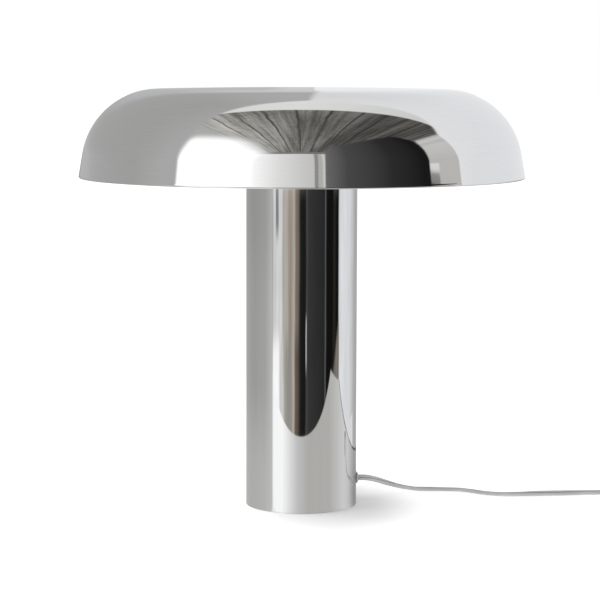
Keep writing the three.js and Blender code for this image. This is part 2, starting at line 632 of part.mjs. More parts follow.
// Saddle: a strip bent over the cable, with a screw through each foot
function makeSaddle() {
  const bottom = ballastTop + GAP;
  const inner = CORD_THICKNESS / 2 + GAP;
  const outer = inner + SADDLE_SHEET;
  const ceiling = CORD_EXIT_HEIGHT + CORD_WIDTH / 2 + GAP;
  const half = [
    [inner, bottom], [outer + SADDLE_FOOT, bottom], [outer + SADDLE_FOOT, bottom + SADDLE_SHEET],
    [outer, bottom + SADDLE_SHEET], [outer, ceiling], [inner, ceiling + SADDLE_SHEET],
  ];
  const left = half.map(([side, height]) => [-side, height]).reverse();
  const outline = [...half, ...left, [-inner, ceiling], [inner, ceiling]];
  const shape = new THREE.Shape(outline.map(([side, height]) => new THREE.Vector2(side, height)));
  const strip = new THREE.ExtrudeGeometry(shape, { depth: SADDLE_LENGTH, bevelEnabled: false });
  strip.rotateX(Math.PI / 2).rotateZ(Math.PI / 2).translate(saddleStart, 0, 0);
  const holes = [-1, 1].map((side) => disc(SADDLE_SCREW_DIAMETER / 2 + GAP, bottom - OVERRUN,
    bottom + SADDLE_SHEET + OVERRUN, SMALL_STEPS).translate(saddleMiddle, side * saddleScrewSide(), 0));
  piece('cord_saddle', cut(strip, ...holes), 'zinc');
  const seat = bottom + SADDLE_SHEET + GAP;
  const tip = ballastTop - SADDLE_SCREW_DEPTH;
  const shank = SADDLE_SCREW_DIAMETER / 2;
  const head = SADDLE_HEAD_DIAMETER / 2;
  [-1, 1].forEach((side, i) => {
    const screw = turned([
      [0, tip], [shank, tip], [shank, seat], [head, seat], [head, seat + SADDLE_HEAD_HEIGHT / 2],
      [head / 2, seat + SADDLE_HEAD_HEIGHT], [0, seat + SADDLE_HEAD_HEIGHT],
    ], SMALL_STEPS);
    piece(`saddle_screw_${i + 1}`, screw.translate(saddleMiddle, side * saddleScrewSide(), 0), 'zinc');
  });
}

// Bush: flange, neck and snap shoulder, with the ribbed tapered tail inside the stem
function makeBush() {
  const tailStart = bushShoulderFace - BUSH_SHOULDER_LENGTH;
  const neck = BUSH_NECK_DIAMETER / 2;
  const tip = BUSH_TAIL_END_DIAMETER / 2;
  const flange = BUSH_FLANGE_DIAMETER / 2;
  const flangeStart = stemRadius + GAP;
  const flangeEnd = flangeStart + BUSH_FLANGE_THICKNESS;
  const taper = [];
  for (let i = 0; i < BUSH_RIB_COUNT; i += 1) {
    for (const [share, riseShare] of BUSH_RIB_SHARES) {
      const along = (i + share) / BUSH_RIB_COUNT;
      const radius = tip + (neck - tip) * along - BUSH_RIB_HEIGHT * (1 - riseShare);
      taper.push([radius, bushTailEnd + (tailStart - bushTailEnd) * along]);
    }
  }
  const body = turned([
    [0, bushTailEnd], ...taper, [neck, tailStart], [bushShoulder, tailStart],
    [bushShoulder, bushShoulderFace], [neck, bushShoulderFace], [neck, flangeStart],
    [flange, flangeStart], [flange, flangeStart + BUSH_FLANGE_THICKNESS / 2],
    [flange - BUSH_FLANGE_THICKNESS / 2, flangeEnd], [0, flangeEnd],
  ]);
  const opening = cordSection(CORD_WIDTH + 2 * GAP, CORD_THICKNESS + 2 * GAP, CORD_SIDES);
  const slot = new THREE.ExtrudeGeometry(opening, { depth: flangeEnd + OVERRUN, bevelEnabled: false });
  const bush = alongX(cut(body, slot)).translate(0, 0, CORD_EXIT_HEIGHT);
  piece('cord_bushing', bush, 'greyPlastic');
}

// Cable inside the lamp: in through the bush and the saddle, past the rod, and up into the drum
const CABLE_BEND_SHARES = [
  [0.62, 0, 0], [0.36, 0.22, 0.02], [0, 0.58, 0.1], [-0.42, 0.76, 0.32], [-0.72, 0.68, 0.8],
];
const CABLE_STRAIGHT_SHARES = [0.1, 0.4, 0.7, 1];

function makeInnerCable() {
  const face = stemRadius + GAP + BUSH_FLANGE_THICKNESS;
  const riseX = CABLE_RISE_RADIUS * Math.cos(CABLE_AZIMUTH);
  const riseY = CABLE_RISE_RADIUS * Math.sin(CABLE_AZIMUTH);
  const low = CORD_EXIT_HEIGHT + 2 * CABLE_RISE_RADIUS;
  const high = blockBottom - GAP;
  const points = [
    [face, 0, CORD_EXIT_HEIGHT],
    [saddleStart + SADDLE_LENGTH, 0, CORD_EXIT_HEIGHT],
    [saddleStart, 0, CORD_EXIT_HEIGHT],
    ...CABLE_BEND_SHARES.map(([x, y, z]) => [x * CABLE_RISE_RADIUS, y * CABLE_RISE_RADIUS,
      CORD_EXIT_HEIGHT + z * CABLE_RISE_RADIUS]),
    ...CABLE_STRAIGHT_SHARES.map((share) => [riseX, riseY, low + (high - low) * share]),
  ].map((point) => new THREE.Vector3(...point));
  const route = new THREE.CatmullRomCurve3(points, false, 'centripetal');
  const section = cordSection(CORD_WIDTH, CORD_THICKNESS, CORD_SIDES);
  piece('inner_cable', swept(section, route, CABLE_STEPS), 'lead');
}

// Cap that closes the top of the stem
function makeStemCap() {
  const spigotRadius = stemBore - GAP;
  const cap = turned([
    [rodHole, capBottom], [spigotRadius - CAP_SPIGOT_WALL, capBottom],
    [spigotRadius - CAP_SPIGOT_WALL, capBottom - CAP_SPIGOT_DEPTH],
    [spigotRadius, capBottom - CAP_SPIGOT_DEPTH], [spigotRadius, capBottom],
    [stemRadius - GAP, capBottom], [stemRadius - GAP, capBottom + CAP_FLANGE_HEIGHT],
    [rodHole, capBottom + CAP_FLANGE_HEIGHT],
  ], INNER_STEPS);
  piece('stem_cap', cut(cap, cableHole(capBottom, capBottom + CAP_FLANGE_HEIGHT)), 'zinc');
  piece('stem_nut', nut(stemNutBottom, NUT_HEIGHT), 'zinc');
}

function cableHole(bottom, top) {
  return disc(CABLE_HOLE_DIAMETER / 2, bottom - OVERRUN, top + OVERRUN, SMALL_STEPS)
    .translate(CABLE_RISE_RADIUS, 0, 0).rotateZ(CABLE_AZIMUTH);
}

// Drum that carries the three lampholders, with its cover
function makeCluster() {
  const bore = clusterRadius - CLUSTER_WALL;
  const cup = turned([
    [rodHole, clusterBottom], [clusterRadius, clusterBottom], [clusterRadius, clusterTop],
    [bore, clusterTop], [bore, clusterBottom + CLUSTER_FLOOR],
    [rodHole, clusterBottom + CLUSTER_FLOOR],
  ]);
  const nippleHoles = LAMP_AZIMUTHS.map((azimuth) => alongX(disc(NIPPLE_DIAMETER / 2 + GAP,
    bore - OVERRUN, clusterRadius + OVERRUN, SMALL_STEPS))
    .translate(0, 0, lampHeight).rotateZ(azimuth));
  const drum = cut(cup, cableHole(clusterBottom, clusterBottom + CLUSTER_FLOOR), ...nippleHoles);
  piece('cluster_body', drum, 'whiteEnamel');
  const lipRadius = bore - GAP;
  piece('cluster_cover', turned([
    [rodHole, coverBottom], [lipRadius - COVER_THICKNESS, coverBottom],
    [lipRadius - COVER_THICKNESS, coverBottom - COVER_LIP_DEPTH],
    [lipRadius, coverBottom - COVER_LIP_DEPTH], [lipRadius, coverBottom],
    [clusterRadius, coverBottom], [clusterRadius, coverBottom + COVER_THICKNESS / 2],
    [clusterRadius - COVER_THICKNESS / 2, coverBottom + COVER_THICKNESS],
    [rodHole, coverBottom + COVER_THICKNESS],
  ]), 'whiteEnamel');
  piece('cover_nut', nut(coverNutBottom, NUT_HEIGHT), 'zinc');
}

// Terminal block with its clamp screws' wells, standing over the cable's end
function makeTerminalBlock() {
  const group = turnedGroup(CABLE_AZIMUTH, blockBottom);
  const body = box([BLOCK_REACH - BLOCK_DEPTH / 2, -BLOCK_WIDTH / 2, 0],
    [BLOCK_REACH + BLOCK_DEPTH / 2, BLOCK_WIDTH / 2, BLOCK_HEIGHT]);
  const wells = Array.from({ length: BLOCK_CLAMP_COUNT }, (_, i) => {
    const side = (i - (BLOCK_CLAMP_COUNT - 1) / 2) * BLOCK_WIDTH / BLOCK_CLAMP_COUNT;
    return alongX(disc(BLOCK_CLAMP_DIAMETER / 2, BLOCK_REACH, BLOCK_REACH + BLOCK_DEPTH, SMALL_STEPS))
      .translate(0, side, BLOCK_HEIGHT / 2);
  });
  piece('terminal_block', cut(body, ...wells), 'whitePlastic', group);
}

// Lead from the block to a lampholder, by way of points round the rod given as shares of its reach
const LEAD_WAY_SHARES = [
  [[-0.62, 0.72, 0.55], [-0.2, 1.1, 0.4]],
  [[-1.1, 0, 0.55], [-1.05, -0.5, 0.4]],
  [[-0.24, 0.62, 0.85], [0.42, 0.52, 0.85], [0.82, -0.1, 0.55]],
];
// Where each lead leaves the block: shares of half its depth and of half its width, from its middle
const LEAD_START_SHARES = [[0, -0.7], [0, 0.7], [-0.5, 0]];

function makeLead(number, azimuth) {
  const [depthShare, sideShare] = LEAD_START_SHARES[number - 1];
  const start = new THREE.Vector3(BLOCK_REACH + depthShare * BLOCK_DEPTH / 2,
    sideShare * BLOCK_WIDTH / 2, 0).applyAxisAngle(new THREE.Vector3(0, 0, 1), CABLE_AZIMUTH);
  const way = LEAD_WAY_SHARES[number - 1].map(([x, y, z]) => new THREE.Vector3(x * BLOCK_REACH,
    y * BLOCK_REACH, lampHeight + z * BLOCK_REACH));
  const outward = new THREE.Vector3(Math.cos(azimuth), Math.sin(azimuth), 0);
  const onAxis = (reach) => outward.clone().multiplyScalar(reach).setZ(lampHeight);
  const blockTop = blockBottom + BLOCK_HEIGHT;
  const points = [
    start.clone().setZ(blockTop + GAP),
    start.clone().setZ(blockTop + LEAD_DIAMETER),
    ...way,
    onAxis(nippleStart),
    onAxis(nippleEnd),
    onAxis(holderFloor - GAP),
  ];
  const section = cordSection(LEAD_DIAMETER, LEAD_DIAMETER, LEAD_SIDES);
  const route = new THREE.CatmullRomCurve3(points, false, 'centripetal');
  piece(`lead_${number}`, swept(section, route, LEAD_STEPS), 'lead');
}

// Nipple, lampholder, threaded sleeve and centre contact, drawn along the bulb's axis
function makeLampholder(number, azimuth) {
  const group = turnedGroup(azimuth, lampHeight);
  const nipple = ring(NIPPLE_BORE / 2, NIPPLE_DIAMETER / 2, nippleStart, nippleEnd, SMALL_STEPS);
  piece(`nipple_${number}`, alongX(nipple), 'brass', group);
  piece(`lampholder_${number}`, alongX(holderShell()), 'whitePlastic', group);
  const sleeveStart = capThreadStart - (SLEEVE_LENGTH - CAP_THREAD_LENGTH);
  const sleeve = ring(sleeveBore, sleeveRadius, sleeveStart, sleeveStart + SLEEVE_LENGTH);
  piece(`thread_sleeve_${number}`, alongX(sleeve), 'brass', group);
  const reach = Math.sqrt((holderBore - GAP) ** 2 - (CONTACT_WIDTH / 2) ** 2);
  const strip = box([-reach, -CONTACT_WIDTH / 2, contactFoot],
    [reach, CONTACT_WIDTH / 2, contactFoot + CONTACT_THICKNESS]);
  const bump = turned([
    [0, contactFoot + CONTACT_THICKNESS / 2],
    [CONTACT_BUMP_DIAMETER / 2, contactFoot + CONTACT_THICKNESS / 2],
    [CONTACT_BUMP_DIAMETER / 2, contactFoot + CONTACT_THICKNESS],
    [CONTACT_BUMP_DIAMETER / 4, contactFoot + contactBump], [0, contactFoot + contactBump],
  ], SMALL_STEPS);
  piece(`centre_contact_${number}`, alongX(join(strip, bump)), 'brass', group);
}

function holderShell() {
  const radius = HOLDER_DIAMETER / 2;
  const tail = HOLDER_TAIL_DIAMETER / 2;
  const waistStart = holderStart + HOLDER_TAIL_LENGTH;
  const collarStart = holderEnd - HOLDER_COLLAR_LENGTH;
  const ribStart = waistStart + HOLDER_RIB_REACH;
  const ribEnd = ribStart + HOLDER_RIB_WIDTH;
  return turned([
    [NIPPLE_DIAMETER / 2 + GAP, holderStart], [tail - HOLDER_COLLAR_RISE, holderStart],
    [tail, holderStart + HOLDER_COLLAR_RISE], [tail, waistStart - HOLDER_TAIL_LENGTH / 2],
    [(tail + radius) / 2 + HOLDER_COLLAR_RISE, waistStart - HOLDER_TAIL_LENGTH / 4],
    [radius, waistStart],
    [radius, ribStart], [radius + HOLDER_RIB_RISE, ribStart + HOLDER_RIB_RISE],
    [radius + HOLDER_RIB_RISE, ribEnd - HOLDER_RIB_RISE], [radius, ribEnd],
    [radius, collarStart], [radius + HOLDER_COLLAR_RISE, collarStart + HOLDER_COLLAR_RISE],
    [radius + HOLDER_COLLAR_RISE, holderEnd - HOLDER_COLLAR_RISE], [radius, holderEnd],
    [holderBore, holderEnd], [holderBore, holderFloor],
    [NIPPLE_DIAMETER / 2 + GAP, holderFloor],
  ]);
}

// Golf-ball bulb: an open glass bulb whose neck stands round the cap's skirt
function makeBulb(number, azimuth) {
  const group = turnedGroup(azimuth, lampHeight);
  const skirt = CAP_SKIRT_DIAMETER / 2;
  const thread = CAP_THREAD_DIAMETER / 2;
  const contact = CAP_CONTACT_DIAMETER / 2;
  const cap = turned([
    [0, capTip], [contact, capTip], [contact, capTip + CAP_CONTACT_HEIGHT],
    [thread - SLEEVE_WALL, capThreadStart], [thread, capThreadStart + SLEEVE_WALL],
    [thread, capThreadEnd], [skirt, capThreadEnd + SLEEVE_WALL], [skirt, capEnd], [0, capEnd],
  ]);
  piece(`bulb_cap_${number}`, alongX(cap), 'aluminium', group);
  const glassStart = capEnd + GAP;
  const tip = glassStart + BULB_GLASS_LENGTH;
  const globeMiddle = tip - BULB_DIAMETER / 2;
  piece(`bulb_glass_${number}`, alongX(turned([
    ...glassOutline(globeMiddle, glassStart, 0, GLASS_STEPS),
    ...glassOutline(globeMiddle, glassStart, BULB_WALL, INNER_GLASS_STEPS).reverse(),
  ])), 'opal', group);
}

// One face of the glass, from its foot on the cap along the neck and round the globe to the tip
function glassOutline(globeMiddle, start, inset, steps) {
  const globe = BULB_DIAMETER / 2 - inset;
  const neck = BULB_NECK_DIAMETER / 2 - inset;
  const joinAngle = Math.PI - Math.asin(neck / globe) * BULB_NECK_BLEND_SHARE;
  const round = arc(0, globeMiddle, globe, joinAngle, 0, steps);
  round[round.length - 1][0] = 0;
  return [[CAP_SKIRT_DIAMETER / 2 - inset, start], [neck, start + BULB_FOOT_LENGTH], ...round];
}

// Carrier cup with vents, on which the shade rests by a ring pad
function makeCarrier() {
  const vents = Array.from({ length: CARRIER_VENT_COUNT }, (_, i) => disc(CARRIER_VENT_DIAMETER / 2,
    carrierBottom - OVERRUN, carrierTop + OVERRUN, SMALL_STEPS)
    .translate(CARRIER_VENT_REACH, 0, 0).rotateZ(i * 2 * Math.PI / CARRIER_VENT_COUNT));
  const rimBore = carrierRadius - CARRIER_RIM_WALL;
  const rimBottom = carrierTop - CARRIER_RIM_DEPTH;
  const plate = turned([
    [rodHole, carrierBottom], [rimBore, carrierBottom], [rimBore, rimBottom],
    [carrierRadius, rimBottom], [carrierRadius, carrierTop], [rodHole, carrierTop],
  ], INNER_STEPS);
  piece('carrier_nut', nut(carrierNutBottom, NUT_HEIGHT), 'zinc');
  piece('shade_carrier', cut(plate, ...vents), 'zinc');
  piece('carrier_pad', ring(carrierRadius - PAD_WIDTH, carrierRadius, padTop - PAD_THICKNESS, padTop,
    INNER_STEPS), 'rubber');
  piece('top_nut', nut(topNutBottom, TOP_NUT_HEIGHT), 'zinc');
}

// In-line switch: two shells, a rocker on its own axle and two screws from below
function switchOutline() {
  const half = SWITCH_LENGTH / 2;
  const waist = half - SWITCH_LENGTH * SWITCH_WAIST_SHARE;
  const [wide, narrow] = [SWITCH_WIDTH / 2, SWITCH_END_WIDTH / 2];
  const shape = new THREE.Shape();
  shape.moveTo(-half, -narrow);
  shape.bezierCurveTo(-(half + waist) / 2, -narrow, -(half + waist) / 2, -wide, -waist, -wide);
  shape.lineTo(waist, -wide);
  shape.bezierCurveTo((half + waist) / 2, -wide, (half + waist) / 2, -narrow, half, -narrow);
  shape.lineTo(half, narrow);
  shape.bezierCurveTo((half + waist) / 2, narrow, (half + waist) / 2, wide, waist, wide);
  shape.lineTo(-waist, wide);
  shape.bezierCurveTo(-(half + waist) / 2, wide, -(half + waist) / 2, narrow, -half, narrow);
  return shape;
}

// A shell with its outer edge rounded, drawn from its flat mating face upwards
function switchShell(height) {
  const grown = height + SWITCH_EDGE;
  const whole = new THREE.ExtrudeGeometry(switchOutline(), {
    depth: grown - SWITCH_EDGE,
    curveSegments: CURVE_STEPS,
    bevelSize: SWITCH_EDGE,
    bevelThickness: SWITCH_EDGE,
    bevelOffset: -SWITCH_EDGE,
    bevelSegments: 2,
  }).translate(0, 0, height - grown);
  const below = box([-SWITCH_LENGTH, -SWITCH_WIDTH, -2 * grown], [SWITCH_LENGTH, SWITCH_WIDTH, 0]);
  return cut(whole, below);
}

function makeSwitch() {
  const group = new THREE.Group();
  group.position.set(SWITCH_START + SWITCH_LENGTH / 2, SWITCH_SIDE, 0);
  lamp.add(group);
  const split = SWITCH_LOWER_HEIGHT + GAP;
  const shank = SWITCH_SCREW_DIAMETER / 2;
  const head = SWITCH_SCREW_HEAD_DIAMETER / 2;
  const headTop = SWITCH_SCREW_SINK + SWITCH_SCREW_HEAD_HEIGHT;
  const screwTop = split + SWITCH_SCREW_GRIP;
  const both = [-SWITCH_SCREW_REACH, SWITCH_SCREW_REACH];
  const sunk = both.map((x) => turned([
    [0, -OVERRUN], [head + GAP, -OVERRUN], [head + GAP, headTop + GAP], [shank + GAP, headTop + GAP],
    [shank + GAP, screwTop + GAP], [0, screwTop + GAP],
  ], SMALL_STEPS).translate(x, 0, 0));
  const lower = switchShell(SWITCH_LOWER_HEIGHT).rotateX(Math.PI).translate(0, 0, SWITCH_LOWER_HEIGHT);
  piece('switch_lower', cut(lower, ...sunk), 'greyPlastic', group);

  const slotHalf = ROCKER_LENGTH / 2 * Math.cos(ROCKER_THROW)
    + (ROCKER_PIVOT_DROP + ROCKER_PROUD) * Math.sin(ROCKER_THROW) + GAP;
  const slotSide = ROCKER_WIDTH / 2 + GAP;
  const window = box([-slotHalf, -slotSide, split - OVERRUN], [slotHalf, slotSide, switchTop + OVERRUN]);
  const axleReach = ROCKER_WIDTH / 2 + ROCKER_AXLE_STUB + GAP;
  const bearing = disc(ROCKER_AXLE_DIAMETER / 2 + GAP, -axleReach, axleReach, SMALL_STEPS)
    .rotateX(Math.PI / 2).translate(0, 0, rockerPivot);
  const upper = switchShell(SWITCH_UPPER_HEIGHT).translate(0, 0, split);
  piece('switch_upper', cut(upper, window, bearing, ...sunk), 'greyPlastic', group);

  both.forEach((x, i) => {
    const screw = turned([
      [0, SWITCH_SCREW_SINK], [head, SWITCH_SCREW_SINK], [head, headTop], [shank, headTop],
      [shank, screwTop], [0, screwTop],
    ], SMALL_STEPS);
    piece(`switch_screw_${i + 1}`, screw.translate(x, 0, 0), 'zinc', group);
  });
  makeRocker(group);
}

function makeRocker(group) {
  const half = ROCKER_LENGTH / 2;
  const top = ROCKER_PIVOT_DROP + ROCKER_PROUD;
  const shape = new THREE.Shape();
  shape.moveTo(0, -ROCKER_KEEL);
  shape.lineTo(half, ROCKER_KEEL);
  shape.lineTo(half, top - ROCKER_DIP / 2);
  shape.lineTo(half - ROCKER_DIP / 2, top);
  shape.quadraticCurveTo(0, top - 2 * ROCKER_DIP, -half + ROCKER_DIP / 2, top);
  shape.lineTo(-half, top - ROCKER_DIP / 2);
  shape.lineTo(-half, ROCKER_KEEL);
  const blade = new THREE.ExtrudeGeometry(shape, {
    depth: ROCKER_WIDTH,
    curveSegments: CURVE_STEPS,
    bevelEnabled: false,
  }).translate(0, 0, -ROCKER_WIDTH / 2);
  const axle = disc(ROCKER_AXLE_DIAMETER / 2, -ROCKER_WIDTH / 2 - ROCKER_AXLE_STUB,
    ROCKER_WIDTH / 2 + ROCKER_AXLE_STUB, SMALL_STEPS);
  const rocker = piece('switch_rocker', join(blade, axle).rotateX(Math.PI / 2), 'darkPlastic', group);
  rocker.position.z = rockerPivot;
  rocker.rotation.y = -ROCKER_THROW;
}

// Coil of the lead that is put away: the turns spiral in and out and climb where they reverse
function coilPoint(angle) {
  const leg = 2 * Math.PI * COIL_TURNS / COIL_LAYERS;
  const phase = angle / leg;
  const spiral = Math.abs(phase - 2 * Math.round(phase / 2));
  const radius = COIL_OUTER_RADIUS - coilSpread * spiral;
  let height = COIL_BASE_HEIGHT;
  for (let layer = 1; layer < COIL_LAYERS; layer += 1) {
    const climb = THREE.MathUtils.clamp((angle - layer * leg) / Math.PI + 0.5, 0, 1);
    height += COIL_LAYER_PITCH * (1 - Math.cos(Math.PI * climb)) / 2;
  }
  return new THREE.Vector3(COIL_CENTRE_X + radius * Math.cos(angle),
    COIL_CENTRE_Y + radius * Math.sin(angle), height);
}

// Centres and outward directions of the coil's rings, with a straight stub at both ends
function coilFrames(stepsPerTurn) {
  const frames = [];
  const count = COIL_TURNS * stepsPerTurn;
  const outward = (angle) => new THREE.Vector3(Math.cos(angle), Math.sin(angle), 0);
  const first = coilPoint(0);
  const last = coilPoint(COIL_TURNS * 2 * Math.PI);
  const stub = new THREE.Vector3(0, CORD_WIDTH, 0);
  frames.push({ centre: first.clone().sub(stub), side: outward(0) });
  for (let i = 0; i <= count; i += 1) {
    const angle = i / stepsPerTurn * 2 * Math.PI;
    frames.push({ centre: coilPoint(angle), side: outward(angle) });
  }
  frames.push({ centre: last.clone().add(stub), side: outward(0) });
  return frames;
}

function coilRings(stepsPerTurn, sides) {
  const section = cordSection(CORD_WIDTH, CORD_THICKNESS, sides).getPoints().slice(0, sides);
  return coilFrames(stepsPerTurn).map(({ centre, side }) => section.map((point) => centre.clone()
    .addScaledVector(side, point.x).add(new THREE.Vector3(0, 0, point.y))));
}

function makeCoil() {
  const sides = LEAD_SIDES;
  const rings = coilRings(COIL_STEPS, sides);
  const corners = rings.flat();
  const faces = [];
  for (let i = 0; i < rings.length - 1; i += 1) {
    for (let k = 0; k < sides; k += 1) {
      const a = i * sides + k;
      const b = i * sides + (k + 1) % sides;
      faces.push(a, b, b + sides, a, b + sides, a + sides);
    }
  }
  const lastRing = (rings.length - 1) * sides;
  for (let k = 1; k < sides - 1; k += 1) {
    faces.push(0, k + 1, k, lastRing, lastRing + k, lastRing + k + 1);
  }
  const tube = new THREE.BufferGeometry().setFromPoints(corners);
  tube.setIndex(faces);
  piece('cord_coil', tube, 'lead');
}

// Least gap between the coil's turns, measured between points on its skin
function coilGap() {
  const rings = coilRings(PROBE_STEPS, PROBE_SIDES);
  const bounds = rings.map((points) => new THREE.Box3().setFromPoints(points));
  let least = Infinity;
  for (let i = 0; i < rings.length; i += 1) {
    for (let j = i + PROBE_STEPS / 2; j < rings.length; j += 1) {
      const near = bounds[i].clone().expandByScalar(CORD_THICKNESS);
      if (near.intersectsBox(bounds[j])) {
        for (const a of rings[i]) {
          for (const b of rings[j]) least = Math.min(least, a.distanceTo(b));
        }
      }
    }
  }
  return least;
}

// Tie round the coil's turns, at the side away from its ends
function makeTie() {
  const inner = coilInnerRadius - CORD_WIDTH / 2 - TIE_CLEARANCE;
  const outer = COIL_OUTER_RADIUS + CORD_WIDTH / 2 + TIE_CLEARANCE;
  const bottom = COIL_BASE_HEIGHT - CORD_THICKNESS / 2 - GAP;
  const top = coilTopHeight + CORD_THICKNESS / 2 + GAP;
  const corner = TIE_CORNER + TIE_THICKNESS;
  const shape = roundedFrame(inner - TIE_THICKNESS, outer + TIE_THICKNESS, bottom - TIE_THICKNESS,
    top + TIE_THICKNESS, corner);
  shape.holes.push(roundedFrame(inner, outer, bottom, top, TIE_CORNER));
  const band = new THREE.ExtrudeGeometry(shape, {
    depth: TIE_WIDTH,
    curveSegments: CURVE_STEPS,
    bevelEnabled: false,
  });
  band.translate(0, 0, -TIE_WIDTH / 2).rotateX(Math.PI / 2).rotateZ(Math.PI);
  piece('coil_tie', band.translate(COIL_CENTRE_X, COIL_CENTRE_Y, 0), 'rubber');
}

function roundedFrame(left, right, bottom, top, corner) {
  const shape = new THREE.Shape();
  shape.moveTo(left + corner, bottom);
  shape.lineTo(right - corner, bottom);
  shape.quadraticCurveTo(right, bottom, right, bottom + corner);
  shape.lineTo(right, top - corner);
  shape.quadraticCurveTo(right, top, right - corner, top);
  shape.lineTo(left + corner, top);
  shape.quadraticCurveTo(left, top, left, top - corner);
  shape.lineTo(left, bottom + corner);
  shape.quadraticCurveTo(left, bottom, left + corner, bottom);
  return shape;
}

function makeFreeLead() {
  const section = cordSection(CORD_WIDTH, CORD_THICKNESS, CORD_SIDES);
  const level = [[0, 0], [1, 0]];
  const run = new FlatRoute(CORD_RUN_POINTS, CORD_TILT_SHARES);
  const link = new FlatRoute(CORD_LINK_POINTS, level);
  const end = new FlatRoute(CORD_END_POINTS, level);
  piece('cord_run', swept(section, run, CORD_RUN_STEPS), 'lead');
  piece('cord_link', swept(section, link, CORD_LINK_STEPS), 'lead');
  piece('cord_end', swept(section, end, CORD_END_STEPS), 'lead');
  makeCoil();
  makeTie();
  const frames = coilFrames(COIL_STEPS);
  const coiled = frames.slice(1).reduce((sum, frame, i) => sum
    + frame.centre.distanceTo(frames[i].centre), 0);
  const total = run.getLength() + SWITCH_LENGTH + link.getLength() + coiled + end.getLength();
  console.log(`lead ${total.toFixed(1)} mm, coil gap ${coilGap().toFixed(2)} mm`);
}

// Plug: a flat body that draws in towards a ribbed tail, with two sleeved pins
function makePlug() {
  const group = new THREE.Group();
  group.position.set(PLUG_SIDE, plugFace, PLUG_HEIGHT / 2);
  lamp.add(group);
  const [wide, narrow] = [PLUG_WIDTH / 2, PLUG_BACK_WIDTH / 2];
  const full = -PLUG_LENGTH * PLUG_FACE_SHARE;
  const middle = (full - PLUG_LENGTH) / 2;
  const shape = new THREE.Shape();
  shape.moveTo(-wide, 0);
  shape.lineTo(-wide, full);
  shape.bezierCurveTo(-wide, middle, -narrow, middle, -narrow, -PLUG_LENGTH);
  shape.lineTo(narrow, -PLUG_LENGTH);
  shape.bezierCurveTo(narrow, middle, wide, middle, wide, full);
  shape.lineTo(wide, 0);
  const body = new THREE.ExtrudeGeometry(shape, {
    depth: PLUG_HEIGHT - 2 * PLUG_EDGE,
    curveSegments: CURVE_STEPS,
    bevelSize: PLUG_EDGE,
    bevelThickness: PLUG_EDGE,
    bevelOffset: -PLUG_EDGE,
    bevelSegments: 2,
  }).translate(0, 0, PLUG_EDGE - PLUG_HEIGHT / 2);
  const tail = plugTail().rotateX(Math.PI / 2).translate(0, -PLUG_LENGTH, 0);
  const pinHoles = [-1, 1].map((side) => disc(PIN_DIAMETER / 2 + GAP, -OVERRUN, PIN_ROOT + GAP,
    SMALL_STEPS).rotateX(Math.PI / 2).translate(side * PIN_SPACING / 2, 0, 0));
  piece('plug_body', cut(join(body, tail), ...pinHoles), 'greyPlastic', group);
  [-1, 1].forEach((side, i) => {
    const radius = PIN_DIAMETER / 2;
    const pin = turned([
      [0, -PIN_ROOT], [PIN_SLEEVE_DIAMETER / 2, -PIN_ROOT],
      [PIN_SLEEVE_DIAMETER / 2, PIN_SLEEVE_LENGTH], [radius, PIN_SLEEVE_LENGTH],
      [radius, PIN_LENGTH - PIN_TIP], [radius - PIN_TIP, PIN_LENGTH], [0, PIN_LENGTH],
    ], SMALL_STEPS).rotateX(-Math.PI / 2);
    piece(`plug_pin_${i + 1}`, pin.translate(side * PIN_SPACING / 2, 0, 0), 'brass', group);
  });
}

// The plug's tapered tail, from inside the body outwards, with rings that let it bend
function plugTail() {
  const wide = PLUG_TAIL_DIAMETER / 2;
  const tip = PLUG_TAIL_END_DIAMETER / 2;
  const outline = [[0, -PLUG_EDGE * 2], [wide, -PLUG_EDGE * 2]];
  for (let i = 0; i < PLUG_TAIL_RIBS; i += 1) {
    for (const [share, dropShare] of PLUG_RIB_SHARES) {
      const along = (i + share) / PLUG_TAIL_RIBS;
      const radius = wide + (tip - wide) * along - PLUG_RIB_HEIGHT * dropShare;
      outline.push([radius, PLUG_TAIL_LENGTH * along]);
    }
  }
  outline.push([tip, PLUG_TAIL_LENGTH], [0, PLUG_TAIL_LENGTH]);
  return turned(outline, SMALL_STEPS);
}

makeFoot();
makeStem();
makeBush();
makeSaddle();
makeInnerCable();
makeStemCap();
makeCluster();
makeTerminalBlock();
LAMP_AZIMUTHS.forEach((azimuth, i) => {
  makeLead(i + 1, azimuth);
  makeLampholder(i + 1, azimuth);
  makeBulb(i + 1, azimuth);
});
makeCarrier();
makeShade();
makeShadeCollar();
THUMB_SCREW_AZIMUTHS.forEach((azimuth, i) => makeThumbScrew(i + 1, azimuth));
makeFreeLead();
makeSwitch();
makePlug();

export default lamp;
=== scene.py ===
# A chromed mushroom table lamp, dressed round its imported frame. Lengths are metres and Z is up.

import json
import math

import bmesh
import bpy
from mathutils import Euler, Matrix, Vector


